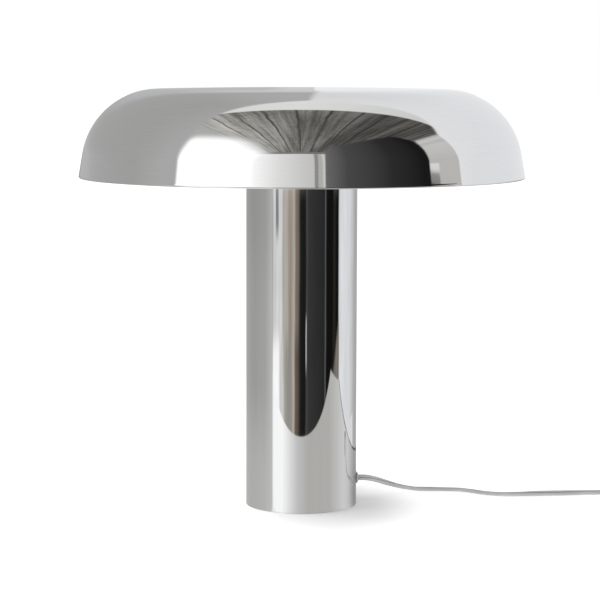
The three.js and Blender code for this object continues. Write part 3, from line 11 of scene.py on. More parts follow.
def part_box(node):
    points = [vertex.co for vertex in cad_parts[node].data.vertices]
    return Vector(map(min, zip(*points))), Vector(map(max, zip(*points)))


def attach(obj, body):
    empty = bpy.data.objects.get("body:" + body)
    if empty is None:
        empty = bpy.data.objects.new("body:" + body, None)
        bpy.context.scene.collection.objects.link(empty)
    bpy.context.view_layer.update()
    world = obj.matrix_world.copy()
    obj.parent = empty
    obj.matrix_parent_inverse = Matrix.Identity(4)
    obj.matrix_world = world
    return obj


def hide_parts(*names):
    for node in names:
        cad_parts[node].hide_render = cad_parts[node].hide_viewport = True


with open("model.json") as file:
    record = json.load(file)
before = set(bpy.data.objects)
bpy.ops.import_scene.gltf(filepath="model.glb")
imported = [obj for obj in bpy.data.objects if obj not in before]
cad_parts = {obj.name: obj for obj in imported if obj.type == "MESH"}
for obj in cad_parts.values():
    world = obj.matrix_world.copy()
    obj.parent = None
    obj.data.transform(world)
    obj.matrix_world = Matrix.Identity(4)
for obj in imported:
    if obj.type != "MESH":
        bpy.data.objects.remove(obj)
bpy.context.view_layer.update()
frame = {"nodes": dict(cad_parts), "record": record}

MM = 0.001
UP = Vector((0, 0, 1))
FINE = 256  # facets round the chromed shells
ROUND = 96  # facets round the fittings
SMALL = 48  # facets round screws
QUARTER = math.pi / 2
HOME = Matrix()  # leaves a piece where it is drawn

# Camera of the photograph
CAMERA_PLACE = (-1.44 * MM, -2.019, 0.3952)
CAMERA_PITCH = math.radians(84.09)
CAMERA_ROLL = math.radians(0.15)
SENSOR = 36.0
LENS = 2247 / 600 * SENSOR

# Flat lead, from the bush to the plug
CORD_WIDTH = 5.2 * MM
CORD_THICKNESS = 3.2 * MM
CORD_CORE_POINTS = 19  # round each core
CORD_CORE_SWEEP = math.radians(115)
CORD_GROOVE_HEIGHT = 1.0 * MM  # from the lead's middle
CORD_RUN_POINTS = [
    [50.6, 0, 24], [54, 0, 24], [57.3, 0.4, 24], [61.4, 1.9, 23.3], [65, 4.6, 22.2], [68.6, 8.4, 20.6],
    [72.3, 12.6, 18.9], [76.2, 17.5, 16.8], [80.1, 22.8, 14.7], [84, 28.4, 12.6], [87.9, 34, 10.5],
    [91.9, 39.6, 8.5], [95.9, 45, 6.8], [99.9, 50, 5.2], [103.8, 54, 3.9], [107.9, 57.2, 2.8],
    [115.4, 60.2, 2.2], [124, 60.8, 2], [138, 60.6, 1.8], [149, 58.6, 1.8], [159.8, 51.7, 1.8],
    [170.5, 43, 1.8], [181, 37.6, 2], [192, 34.3, 2.4], [204, 33.4, 2.7], [218, 34.8, 2.9],
    [233, 36.7, 2.9], [248, 39.2, 2.7], [263.4, 42.4, 2.5], [277.5, 45.1, 2.2], [281.5, 45.8, 2.4],
    [285.5, 46.2, 3.3], [289.5, 46.4, 4.2], [291.8, 46.5, 4.55], [293.7, 46.5, 4.6],
]
CORD_TILT_SHARES = [[0, 90], [0.32, 12], [0.4, 0], [0.6, 0], [0.78, 50], [0.92, 20], [1, 0]]
CORD_LINK_POINTS = [
    [356.3, 46.5, 4.6], [358.6, 46.5, 4.6], [362, 46.6, 4.4], [368, 47.4, 3.8], [374.5, 50.1, 3.1],
    [380.2, 54.4, 2.8], [384.5, 60, 2.75], [387.2, 66.6, 2.75], [388.1, 73.6, 2.75],
    [388.1, 86, 2.75], [388.1, 98.5, 2.75],
]
CORD_END_POINTS = [
    [388.1, 109.5, 14.15], [388.1, 112, 14.1], [388.1, 115.8, 13.7], [388.1, 120.7, 12.3],
    [388.1, 125.5, 10.5], [388.1, 130.3, 8.7], [388.1, 135.2, 7.35], [388.1, 139.6, 6.9],
    [388.1, 143.5, 6.85],
]
COIL_CENTRE = (352.5, 104)
COIL_OUTER_RADIUS = 35.6
COIL_TURN_PITCH = 5.8
COIL_LAYER_PITCH = 3.8
COIL_BASE_HEIGHT = 2.75
COIL_LAYERS = 4
COIL_TURNS = 7
COIL_STEPS = 48  # for each turn


def tone(level, tint=(1, 1, 1)):
    """A colour as the shader takes it, from a grey of 0 to 255 as the screen shows it."""
    share = level / 255
    linear = share / 12.92 if share <= 0.04045 else ((share + 0.055) / 1.055) ** 2.4
    return tuple(linear * part for part in tint) + (1.0,)


def box_of(node):
    """The lowest and the highest corner of a node's box, in millimetres."""
    return [[part / MM for part in corner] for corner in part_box(node)]


# Meshes, drawn in millimetres

def add_object(name, data):
    data.name = name
    made = bpy.data.objects.new(name, data)
    bpy.context.scene.collection.objects.link(made)
    return made


def mesh_of(points, faces, sharp=30):
    mesh = bpy.data.meshes.new("mesh")
    mesh.from_pydata([tuple(point) for point in points], [], faces)
    mesh.validate()
    tidy = bmesh.new()
    tidy.from_mesh(mesh)
    bmesh.ops.recalc_face_normals(tidy, faces=tidy.faces)
    tidy.to_mesh(mesh)
    tidy.free()
    mesh.shade_smooth()
    mesh.set_sharp_from_angle(angle=math.radians(sharp))
    return mesh


def placed(points, place):
    """Points drawn in millimetres, in metres and in their place."""
    return [place @ (Vector(point) * MM) for point in points]


def ring(reach, height, steps):
    """A level ring about Z, whose reach is a function of the angle."""
    angles = [2 * math.pi * i / steps for i in range(steps)]
    return [(reach(angle) * math.cos(angle), reach(angle) * math.sin(angle), height) for angle in angles]


def strips(rings):
    """The faces between rings of point numbers, without those that have no width."""
    faces = []
    for low, high in zip(rings, rings[1:]):
        for i in range(len(low)):
            k = (i + 1) % len(low)
            corners = list(dict.fromkeys((low[i], low[k], high[k], high[i])))
            if len(corners) > 2:
                faces.append(corners)
    return faces


def lathe(outline, steps=ROUND, place=HOME, sharp=30):
    """A turned mesh about Z, from an outline of radius and height, open at its ends only on the axis."""
    points, rings = [], []
    for radius, height in outline:
        count = steps if radius > 1e-9 else 1
        rings.append([len(points) + i % count for i in range(steps)])
        points += ring(lambda angle: radius, height, count)
    if outline[0][0] > 1e-9:
        rings.append(rings[0])
    return mesh_of(placed(points, place), strips(rings), sharp)


def loft(rings, place=HOME, sharp=30, closed=False):
    """A mesh through rings of points, capped at both ends, or closed from the last ring to the first."""
    count = len(rings[0])
    numbers = [list(range(i * count, (i + 1) * count)) for i in range(len(rings))]
    caps = [] if closed else [numbers[0][::-1], numbers[-1]]
    faces = strips(numbers + numbers[:1] * closed) + caps
    return mesh_of(placed([point for points in rings for point in points], place), faces, sharp)


def arc(reach, height, radius, start, end, steps):
    """Points on an arc, with angles measured from upright."""
    angles = [start + (end - start) * i / steps for i in range(steps + 1)]
    return [(reach + radius * math.sin(a), height + radius * math.cos(a)) for a in angles]


def rounded(corners, radius, steps=4):
    """An outline whose listed corners are rounded with one radius, ends excepted."""
    made = [corners[0]]
    for before, corner, after in zip(corners, corners[1:], corners[2:]):
        a, b, c = Vector(before), Vector(corner), Vector(after)
        cut = min(radius, (a - b).length / 2.2, (c - b).length / 2.2)
        first, last = b + (a - b).normalized() * cut, b + (c - b).normalized() * cut
        for i in range(steps + 1):
            share = i / steps
            made.append(tuple(first.lerp(b, share).lerp(b.lerp(last, share), share)))
    return made + [corners[-1]]


def plate(x0, y0, x1, y1, radius, steps=4):
    """The closed outline of a rectangle with rounded corners."""
    middle = (x0, (y0 + y1) / 2)
    return rounded([middle, (x0, y0), (x1, y0), (x1, y1), (x0, y1), middle], radius, steps)[:-1]


def rod(radius, start, end):
    """The outline of a plain turned rod."""
    return [(0, start), (radius, start), (radius, end), (0, end)]


def bezier(a, b, c, d, steps):
    """Points on a cubic curve, its last point left out."""
    points = []
    for i in range(steps):
        t = i / steps
        shares = ((1 - t) ** 3, 3 * t * (1 - t) ** 2, 3 * t * t * (1 - t), t ** 3)
        points.append(tuple(sum(k * part for k, part in zip(shares, parts)) for parts in zip(a, b, c, d)))
    return points


def inset(outline, amount):
    """A closed outline, anticlockwise, drawn in by an amount."""
    made = []
    for before, point, after in zip([outline[-1], *outline], outline, [*outline[1:], outline[0]]):
        along = (Vector(after) - Vector(before)).normalized()
        made.append((point[0] - along.y * amount, point[1] + along.x * amount))
    return made


def slab(outline, bottom, top, low_edge, high_edge, place=HOME, steps=5):
    """An outline raised from bottom to top, with its lower and upper edges rounded."""
    turns = [QUARTER * i / steps for i in range(steps + 1)]
    levels = [(low_edge * (1 - math.sin(a)), bottom + low_edge * (1 - math.cos(a))) for a in turns]
    levels += [(high_edge * (1 - math.cos(a)), top - high_edge * (1 - math.sin(a))) for a in turns]
    levels = dict.fromkeys(levels)
    return loft([[(x, y, z) for x, y in inset(outline, amount)] for amount, z in levels], place)


def box_mesh(low, high, place=HOME):
    (x0, y0, z0), (x1, y1, z1) = low, high
    corners = [(x0, y0), (x1, y0), (x1, y1), (x0, y1)]
    return loft([[(x, y, z) for x, y in corners] for z in (z0, z1)], place)


def combined(mesh, operation, *others):
    """The mesh with others cut from it or joined to it."""
    for other in others:
        tool = add_object("tool", other)
        holder = add_object("holder", mesh)
        modifier = holder.modifiers.new("step", "BOOLEAN")
        modifier.object = tool
        modifier.operation = operation
        modifier.solver = "EXACT"
        mesh = bpy.data.meshes.new_from_object(holder.evaluated_get(bpy.context.evaluated_depsgraph_get()))
        bpy.data.objects.remove(holder)
        bpy.data.objects.remove(tool)
    mesh.shade_smooth()
    mesh.set_sharp_from_angle(angle=math.radians(30))
    return mesh


def hexagon_nut(across, bottom, top, hole):
    """A nut with its corners chamfered, round its hole."""
    half, bevel = across / 2, 0.45

    def flats(limit):
        return lambda angle: min(limit, half / math.cos((angle + math.pi / 6) % (math.pi / 3) - math.pi / 6))

    rings = [ring(lambda angle: hole, bottom, ROUND), ring(flats(half * 1.06), bottom, ROUND),
             ring(flats(half * 1.2), bottom + bevel, ROUND), ring(flats(half * 1.2), top - bevel, ROUND),
             ring(flats(half * 1.06), top, ROUND), ring(lambda angle: hole, top, ROUND)]
    return loft(rings, sharp=25, closed=True)


def threaded(radius, depth, pitch, start, end, place=HOME, rounds=12, steps=SMALL, bore=None):
    """A rod, or a tube where a bore is given, with a helical thread that fades out at both ends."""
    rings = []
    levels = round((end - start) / pitch * rounds)
    for i in range(levels + 1):
        z = start + (end - start) * i / levels
        fade = min(1, (z - start) / pitch, (end - z) / pitch)

        def reach(angle):
            groove = 0.5 - 0.5 * math.cos(2 * math.pi * z / pitch - angle)
            return radius - depth * (groove * fade + 1 - fade)

        rings.append(ring(reach, z, steps))
    if bore is not None:
        rings += [ring(lambda angle: bore, z, steps) for z in (end, start)]
    return loft(rings, place, 60, closed=bore is not None)


def joined(*meshes):
    """Several closed meshes as one, with the materials that each has."""
    whole = bmesh.new()
    made = bpy.data.meshes.new("mesh")
    for mesh in meshes:
        offset = len(made.materials)
        for material in mesh.materials:
            made.materials.append(material)
        start = len(whole.faces)
        whole.from_mesh(mesh)
        whole.faces.ensure_lookup_table()
        for face in whole.faces[start:]:
            face.material_index += offset
    whole.to_mesh(made)
    whole.free()
    return made


def shift(x=0, y=0, z=0):
    return Matrix.Translation((x * MM, y * MM, z * MM))


def spin(angle, axis):
    return Matrix.Rotation(angle, 4, axis)


def outward(azimuth, height):
    """Turns a piece that is drawn along Z to point away from the axis at a bearing and a height."""
    return shift(z=height) @ spin(azimuth, "Z") @ spin(QUARTER, "Y")


slots = {row["node"]: row["material_slot"] for row in frame["record"]["subparts"]}
bodies = {node: body for body, nodes in frame["record"]["behaviour"]["bodies"].items() for node in nodes}


def dress(node, mesh, name=None):
    """Shows a fine piece in place of a node, in the material of its slot where it has none of its own."""
    if not any(mesh.materials):
        mesh.materials.clear()
        mesh.materials.append(slot_materials[slots[node]])
    piece = add_object(name or f"{node}_fine", mesh)
    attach(piece, bodies[node])
    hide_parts(node)


# Camera, made first

def make_camera():
    data = bpy.data.cameras.new("camera")
    data.sensor_width = SENSOR
    data.lens = LENS
    data.clip_start = 0.05
    data.clip_end = 50
    camera = add_object("camera", data)
    camera.location = CAMERA_PLACE
    pitch = Euler((CAMERA_PITCH, 0, 0)).to_matrix()
    roll = Euler((0, 0, CAMERA_ROLL)).to_matrix()
    camera.rotation_euler = (pitch @ roll).to_euler()
    bpy.context.scene.camera = camera


make_camera()


# Flat lead

def coil_point(angle):
    leg = 2 * math.pi * COIL_TURNS / COIL_LAYERS
    phase = angle / leg
    spiral = abs(phase - 2 * round(phase / 2))
    radius = COIL_OUTER_RADIUS - COIL_TURN_PITCH * COIL_TURNS / COIL_LAYERS * spiral
    height = COIL_BASE_HEIGHT
    for layer in range(1, COIL_LAYERS):
        climb = min(max((angle - layer * leg) / math.pi + 0.5, 0), 1)
        height += COIL_LAYER_PITCH * (1 - math.cos(math.pi * climb)) / 2
    x, y = COIL_CENTRE
    return Vector((x + radius * math.cos(angle), y + radius * math.sin(angle), height))


def smooth_route(points, step=1.5):
    """Points about step apart on a smooth curve through the given ones."""
    given = [Vector(point) for point in points]
    padded = [2 * given[0] - given[1], *given, 2 * given[-1] - given[-2]]
    made = []
    for a, b, c, d in zip(padded, padded[1:], padded[2:], padded[3:]):
        times = [0.0]
        for start, end in ((a, b), (b, c), (c, d)):
            times.append(times[-1] + math.sqrt((end - start).length))
        t0, t1, t2, t3 = times
        count = max(2, round((c - b).length / step))
        for i in range(count):
            t = t1 + (t2 - t1) * i / count
            p01 = a.lerp(b, (t - t0) / (t1 - t0))
            p12 = b.lerp(c, (t - t1) / (t2 - t1))
            p23 = c.lerp(d, (t - t2) / (t3 - t2))
            p012 = p01.lerp(p12, (t - t0) / (t2 - t0))
            p123 = p12.lerp(p23, (t - t1) / (t3 - t1))
            made.append(p012.lerp(p123, (t - t1) / (t2 - t1)))
    return made + [given[-1]]


def run_tilt(share):
    """How far the lead's wide side stands up from level, at a share of its run."""
    for (start, first), (end, last) in zip(CORD_TILT_SHARES, CORD_TILT_SHARES[1:]):
        if share <= end:
            blend = (share - start) / (end - start)
            blend = blend * blend * (3 - 2 * blend)
            return math.radians(first + (last - first) * blend)


def cord_section():
    """Half-width and half-thickness of the two cores with the groove between them."""
    radius = CORD_THICKNESS / 2
    offset = (CORD_WIDTH - CORD_THICKNESS) / 2
    points = []
    for side in (1, -1):
        for i in range(CORD_CORE_POINTS):
            angle = CORD_CORE_SWEEP * (2 * i / (CORD_CORE_POINTS - 1) - 1)
            points.append((side * (offset + radius * math.cos(angle)), side * radius * math.sin(angle)))
        points.append((0, side * CORD_GROOVE_HEIGHT))
    return points


def tube(route, tilts, section):
    """A mesh that follows the route, its section's wide side tilted up from level."""
    rings = []
    for i, centre in enumerate(route):
        tangent = (route[min(i + 1, len(route) - 1)] - route[max(i - 1, 0)]).normalized()
        side = UP.cross(tangent).normalized()
        lift = tangent.cross(side)
        wide = side * math.cos(tilts[i]) + lift * math.sin(tilts[i])
        thin = tangent.cross(wide)
        rings.append([(centre + wide * x + thin * y) / MM for x, y in section])
    return loft(rings, sharp=60)


def make_cord():
    run = smooth_route(CORD_RUN_POINTS)
    lengths = [0.0]
    for a, b in zip(run, run[1:]):
        lengths.append(lengths[-1] + (b - a).length)
    tilts = [run_tilt(length / lengths[-1]) for length in lengths]
    link = smooth_route(CORD_LINK_POINTS)
    through = [run[-1].lerp(link[0], i / 20) for i in range(1, 20)]
    coil = [coil_point(2 * math.pi * i / COIL_STEPS) for i in range(COIL_TURNS * COIL_STEPS + 1)]
    route = [point * MM for point in run + through + link + coil + smooth_route(CORD_END_POINTS)]
    tilts += [0.0] * (len(route) - len(run))
    return add_object("cord", tube(route, tilts, cord_section())), route


cord, cord_route = make_cord()


# Shader graphs

class Graph:
    """Adds nodes to a node tree and links them."""

    def __init__(self, tree):
        self.tree = tree
        tree.nodes.clear()

    def add(self, kind, inputs=None, **settings):
        node = self.tree.nodes.new(kind)
        for key, value in settings.items():
            setattr(node, key, value)
        for key, value in (inputs or {}).items():
            self.feed(node.inputs[key], value)
        return node

    def feed(self, socket, value):
        if isinstance(value, bpy.types.NodeSocket):
            self.tree.links.new(value, socket)
        else:
            socket.default_value = value

    def math(self, operation, *values):
        node = self.add("ShaderNodeMath", operation=operation)
        for socket, value in zip(node.inputs, values):
            self.feed(socket, value)
        return node.outputs[0]

    def times(self, first, *others):
        for other in others:
            first = self.math("MULTIPLY", first, other)
        return first

    def plus(self, first, second):
        return self.math("ADD", first, second)

    def over(self, first, second):
        return self.math("DIVIDE", first, second)

    def line(self, value, slope, start):
        return self.math("MULTIPLY_ADD", value, slope, start)

    def split(self, vector):
        return self.add("ShaderNodeSeparateXYZ", {"Vector": vector}).outputs

    def combine(self, x, y, z=0.0):
        return self.add("ShaderNodeCombineXYZ", {"X": x, "Y": y, "Z": z}).outputs[0]

    def step(self, value, low, high, to_low=0.0, to_high=1.0):
        """Rises smoothly from to_low at low to to_high at high."""
        if low > high:
            low, high, to_low, to_high = high, low, to_high, to_low
        inputs = {"Value": value, "From Min": low, "From Max": high, "To Min": to_low, "To Max": to_high}
        return self.add("ShaderNodeMapRange", inputs, interpolation_type="SMOOTHSTEP").outputs[0]

    def blend(self, factor, first, second, kind="MIX"):
        node = self.add("ShaderNodeMix", data_type="RGBA", blend_type=kind)
        sockets = {socket.identifier: socket for socket in node.inputs}
        self.feed(sockets["Factor_Float"], factor)
        self.feed(sockets["A_Color"], first)
        self.feed(sockets["B_Color"], second)
        return next(socket for socket in node.outputs if socket.identifier == "Result_Color")

    def scaled(self, colour, gain):
        return self.blend(1.0, colour, self.combine(gain, gain, gain), "MULTIPLY")

    def noise(self, vector, scale, detail=2.0, roughness=0.5):
        inputs = {"Vector": vector, "Scale": scale, "Detail": detail, "Roughness": roughness}
        return self.add("ShaderNodeTexNoise", inputs).outputs[0]

    def stretched(self, vector, scale):
        return self.add("ShaderNodeMapping", {"Vector": vector, "Scale": scale}).outputs[0]

    def side(self, first, second, start, end, soft):
        """Rises to 1 on the left of the line from start to end, for a place seen from above."""
        (x0, y0), (x1, y1) = start, end
        length = math.hypot(x1 - x0, y1 - y0)
        across = self.times(self.math("SUBTRACT", first, x0), (y0 - y1) / length)
        along = self.times(self.math("SUBTRACT", second, y0), (x1 - x0) / length)
        return self.step(self.plus(across, along), -soft, soft)

    def ramp(self, factor, *stops):
        """Greys along a factor. Each stop is a place and a level, and a tint where the grey has one."""
        node = self.add("ShaderNodeValToRGB", {"Fac": factor})
        band = node.color_ramp
        while len(band.elements) < len(stops):
            band.elements.new(0.5)
        for element, (place, *grey) in zip(band.elements, stops):
            element.position = place
            element.color = tone(*grey)
        return node.outputs[0]

    def turn_ramp(self, share, *stops):
        """A ramp over a turn, whose places are bearings in degrees."""
        return self.ramp(share, *[(turn(degrees), *grey) for degrees, *grey in stops])

    def glow(self, colour, strength):
        return self.add("ShaderNodeEmission", {"Color": colour, "Strength": strength}).outputs[0]

    def either(self, factor, first, second):
        """One of two shaders, or a mixture of both."""
        return self.add("ShaderNodeMixShader", {0: factor, 1: first, 2: second}).outputs[0]

    def show(self, shader, kind="ShaderNodeOutputMaterial"):
        self.feed(self.add(kind).inputs["Surface"], shader)


def turn(degrees):
    """A bearing as a share of a turn, from straight behind."""
    return (degrees + 180) / 360


class Material(Graph):
    """A material that starts empty."""

    def __init__(self, name):
        self.made = bpy.data.materials.new(name)
        self.made.use_nodes = True
        super().__init__(self.made.node_tree)


class Surface(Material):
    """A material with one Principled shader, its constant values set on its own sockets."""

    def __init__(self, name, **constants):
        super().__init__(name)
        self.shader = self.add("ShaderNodeBsdfPrincipled")
        for key, value in constants.items():
            self.shader.inputs[key.replace("_", " ")].default_value = value
        self.show(self.shader.outputs[0])
        self.place = self.add("ShaderNodeTexCoord").outputs["Object"]

    def bump(self, height, depth, strength=1.0, **under):
        """A relief of a height from 0 to 1 times a depth in metres."""
        inputs = {"Strength": strength, "Distance": depth, "Height": height, **under}
        return self.add("ShaderNodeBump", inputs).outputs[0]

    def finished(self, colour, roughness, normal):
        for key, value in (("Base Color", colour), ("Roughness", roughness), ("Normal", normal)):
            self.feed(self.shader.inputs[key], value)
        return self.made


# Materials

CHROME_TONE = 0.82  # how much light the plate reflects
CHROME_TINT = (1, 1.003, 1.004)


def chrome(name, grain, wave):
    """Polished plate with faint polishing lines and the slight waves of thin metal."""
    made = Surface(name, Metallic=1.0)
    lines = made.noise(made.stretched(made.place, grain), 1.0, 4.0, 0.65)
    haze = made.noise(made.place, 14.0, 3.0)
    rough = made.line(haze, 0.012, made.line(lines, 0.03, 0.004))
    shade = made.step(lines, 0.3, 0.7, 0.97, 1.0)
    red, green, blue = [made.times(shade, CHROME_TONE * part) for part in CHROME_TINT]
    base = made.add("ShaderNodeCombineColor", {"Red": red, "Green": green, "Blue": blue}).outputs[0]
    swell = made.noise(made.stretched(made.place, wave), 1.0, 1.0)
    return made.finished(base, rough, made.bump(lines, 6e-7, 0.5, Normal=made.bump(swell, 0.00002)))


def darker(colour, share):
    return tuple(part * (1 - share) for part in colour[:3]) + (1.0,)


def finish(name, colour, rough, grain_size, relief, mottle=0.15, metal=0.0, **constants):
    """A surface with grain and relief in millimetres, and faint clouds of dust or wear."""
    made = Surface(name, Metallic=metal, **constants)
    grain = made.noise(made.place, 1 / (grain_size * MM), 3.0)
    cloud = made.noise(made.place, 55.0, 4.0, 0.6)
    patches = made.plus(made.times(cloud, 0.6), made.times(grain, 0.4))
    base = made.blend(made.step(patches, 0.35, 0.62), darker(colour, mottle), colour)
    worn = made.step(patches, 0.35, 0.65, rough * 1.2, rough * 0.85)
    return made.finished(base, worn, made.bump(grain, relief * MM))


def brushed(name, colour, rough, mottle, scratch):
    """Metal with fine scratches that run across its grain, over faint clouds of handling."""
    made = Surface(name, Metallic=1.0)
    lines = made.noise(made.stretched(made.place, (scratch, scratch, scratch * 0.06)), 1.0, 5.0, 0.7)
    cloud = made.noise(made.place, 90.0, 4.0, 0.6)
    patches = made.plus(made.times(cloud, 0.5), made.times(lines, 0.5))
    base = made.blend(made.step(patches, 0.35, 0.65), darker(colour, mottle), colour)
    worn = made.step(patches, 0.3, 0.7, rough * 1.3, rough * 0.75)
    return made.finished(base, worn, made.bump(lines, 0.000012, 0.6))


def opal_glass():
    """Blown white glass: a clear skin over a milky body with slow waves."""
    made = Surface("opal_glass", Coat_Weight=0.7, Coat_Roughness=0.04, Subsurface_Weight=0.25,
                   Subsurface_Scale=0.004)
    cloud = made.noise(made.place, 40.0, 3.0)
    base = made.blend(cloud, tone(226, (1, 0.985, 0.96)), tone(240, (1, 0.99, 0.975)))
    return made.finished(base, made.step(cloud, 0.3, 0.7, 0.24, 0.16), made.bump(cloud, 0.00006))


def felt():
    """Pressed wool: short fibres that lie both ways."""
    made = Surface("felt", Sheen_Weight=0.35, Sheen_Roughness=0.6)
    along = made.noise(made.stretched(made.place, (260, 2600, 1200)), 1.0, 3.0, 0.7)
    across = made.noise(made.stretched(made.place, (2600, 260, 1200)), 1.0, 3.0, 0.7)
    fibre = made.math("MAXIMUM", along, across)
    base = made.blend(made.step(fibre, 0.4, 0.75), tone(46), tone(84))
    return made.finished(base, made.step(fibre, 0.4, 0.8, 1.0, 0.86), made.bump(fibre, 0.0003))


def weave(name, colour, pitch):
    """Woven tape: threads over and under at a pitch in millimetres."""
    made = Surface(name)
    x, y, z = made.split(made.place)
    rate = math.pi / (pitch * MM)
    warp = made.math("SINE", made.times(made.plus(x, z), rate))
    weft = made.math("SINE", made.times(y, rate))
    knots = made.line(made.times(warp, weft), 0.5, 0.5)
    fuzz = made.noise(made.place, 2600.0, 3.0)
    height = made.plus(made.times(knots, 0.75), made.times(fuzz, 0.25))
    base = made.blend(made.step(height, 0.2, 0.8), darker(colour, 0.55), colour)
    return made.finished(base, made.step(height, 0.2, 0.8, 0.95, 0.75), made.bump(height, 0.00022))


slot_materials = {
    "shade": chrome("shade_chrome", (60, 60, 900), (9, 9, 12)),
    "stem": chrome("stem_chrome", (900, 900, 12), (22, 22, 7)),
    "thumb_screw": brushed("thumb_chrome", tone(214), 0.16, 0.12, 900.0),
    "fittings": brushed("zinc", tone(184, (1, 1, 1.02)), 0.34, 0.25, 500.0),
    "ballast": finish("ballast_iron", tone(58), 0.7, 1.2, 0.3, 0.35, 0.25),
    "brass": brushed("brass", (0.6, 0.42, 0.17, 1), 0.28, 0.3, 700.0),
    "bulb_cap": brushed("cap_aluminium", tone(204), 0.28, 0.2, 800.0),
    "cluster": finish("white_enamel", tone(226, (1, 0.99, 0.96)), 0.34, 0.9, 0.012, 0.08, Coat_Weight=0.3),
    "holder": finish("white_plastic", tone(222, (1, 0.98, 0.94)), 0.46, 0.25, 0.01, 0.09),
    "opal_glass": opal_glass(),
    "lead": finish("lead_sheath", tone(194, (1, 1, 0.985)), 0.42, 0.3, 0.012, 0.12),
    "inner_lead": finish("inner_lead", tone(222, (1, 0.985, 0.95)), 0.5, 0.3, 0.01, 0.1),
    "bush": finish("bush_plastic", tone(180, (1, 1, 0.98)), 0.42, 0.2, 0.01, 0.12),
    "switch_shell": finish("switch_plastic", tone(186, (1, 1, 0.985)), 0.48, 0.2, 0.018, 0.1),
    "rocker": finish("rocker_plastic", tone(84, (1, 1, 0.98)), 0.36, 0.2, 0.012, 0.25),
    "plug": finish("plug_plastic", tone(186, (1, 1, 0.985)), 0.46, 0.2, 0.018, 0.1),
    "pins": brushed("pin_nickel", tone(204, (1, 0.98, 0.93)), 0.24, 0.2, 900.0),
    "felt": felt(),
    "pad": finish("pad_rubber", tone(44), 0.8, 0.5, 0.05, 0.3),
    "tie": weave("tie_weave", tone(74, (1, 1, 1.02)), 0.9),
}
# A darker sheath for the groove between the cores: painted shade in the crease.
lead_groove_shade = finish("lead_groove_shade", tone(148, (1, 1, 0.985)), 0.5, 0.3, 0.012, 0.12)
for node, slot in slots.items():
    materials = frame["nodes"][node].data.materials
    materials.clear()
    materials.append(slot_materials[slot])


# Shade

SHADE_CORNER = 68.6
CROWN_RISE = 1.5
SKIRT_LEAN = math.radians(9.67)
SHADE_WALL = 1.2
HEM_DEPTH = 6
HEM_THICKNESS = 2.4


def shade_outline():
    """Crown and shoulder as tangent arcs, a straight skirt and a folded hem, then back up inside."""
    low, high = box_of("shade")
    rim, top, radius = low[2], high[2], high[0]
    shoulder = top - CROWN_RISE - SHADE_CORNER
    skirt = shoulder + SHADE_CORNER * math.sin(SKIRT_LEAN) - rim
    reach = radius - SHADE_CORNER * math.cos(SKIRT_LEAN) - skirt * math.tan(SKIRT_LEAN)
    sagitta = CROWN_RISE + SHADE_CORNER
    crown = (reach ** 2 + sagitta ** 2 - SHADE_CORNER ** 2) / (2 * CROWN_RISE)
    centre = top - crown
    edge = math.atan2(reach, shoulder - centre)

    def skin(offset, crown_steps, shoulder_steps):
        points = arc(0, centre, crown - offset, 0, edge, crown_steps)
        return points + arc(reach, shoulder, SHADE_CORNER - offset, edge, QUARTER - SKIRT_LEAN,
                            shoulder_steps)[1:]

    def wall(height, offset):
        return radius - height * math.tan(SKIRT_LEAN) - offset / math.cos(SKIRT_LEAN), rim + height

    lip = HEM_THICKNESS / 2
    outer = skin(0, 24, 64) + [wall(skirt * (1 - i / 8), 0) for i in range(1, 8)]
    outer = [point for point in outer if point[1] > rim + lip * 1.3]
    roll = arc(*wall(lip, lip), lip, QUARTER - SKIRT_LEAN, 1.5 * math.pi - SKIRT_LEAN, 14)
    hem = [wall(HEM_DEPTH - 0.6, HEM_THICKNESS), wall(HEM_DEPTH - 0.15, HEM_THICKNESS - 0.2),
           wall(HEM_DEPTH, HEM_THICKNESS - 0.6), wall(HEM_DEPTH, SHADE_WALL + 0.1),
           wall(HEM_DEPTH + 0.4, SHADE_WALL)]
    return outer + roll + hem + skin(SHADE_WALL, 12, 40)[::-1]


def make_shade():
    dress("shade", lathe(shade_outline(), FINE, sharp=50))


make_shade()


# Stem, and the bush in its wall

STEM_WALL = 1.5
CORD_HEIGHT = 24
BUSH_RIBS = 3
BUSH_RIB_SHARES = ((0.06, 0), (0.36, 0), (0.44, 0.6), (0.5, 1), (0.88, 1), (0.95, 0.6))


def make_stem():
    low, high = box_of("stem_tube")
    bottom, top, radius = low[2], high[2], high[0]
    bore, edge = radius - STEM_WALL, 0.35
    outline = [(bore, top - edge), (bore + edge, top), (radius - edge, top), (radius, top - edge)]
    outline += [(radius, top - (top - bottom) * i / 24) for i in range(1, 24)]
    outline += [(radius, bottom + edge), (radius - edge, bottom), (bore + edge, bottom),
                (bore, bottom + edge)]
    dress("stem_tube", lathe(outline, FINE, sharp=35), "stem_fine")


def make_bush():
    tail, face = [corner[0] for corner in box_of("cord_bushing")]
    flange, neck, shoulder, tip = 5.4, 4.2, 4.9, 3.7
    rib, flange_depth = 0.35, 1.8
    seat = box_of("stem_tube")[1][0] - STEM_WALL - 0.55
    tail_start = seat - 1.6
    outline = [(0, tail), (tip - 0.9, tail), (tip - 0.4, tail + 0.4)]
    for i in range(BUSH_RIBS):
        for share, rise in BUSH_RIB_SHARES:
            along = (i + share) / BUSH_RIBS
            wide = tip + (neck - tip) * along - rib * (1 - rise)
            outline.append((wide, tail + (tail_start - tail) * along))
    outline += rounded([(neck, tail_start), (shoulder, tail_start + 0.3), (shoulder, seat), (neck, seat),
                        (neck, face - flange_depth), (flange, face - flange_depth), (flange, face - 1.35),
                        (flange - 0.6, face - 0.8), (flange - 1.8, face - 0.5), (3.2, face),
                        (0, face)], 0.25, 2)
    dress("cord_bushing", lathe(outline, SMALL, outward(0, CORD_HEIGHT)), "bush_fine")


make_stem()
make_bush()


# Lampholders, bulbs and their drum

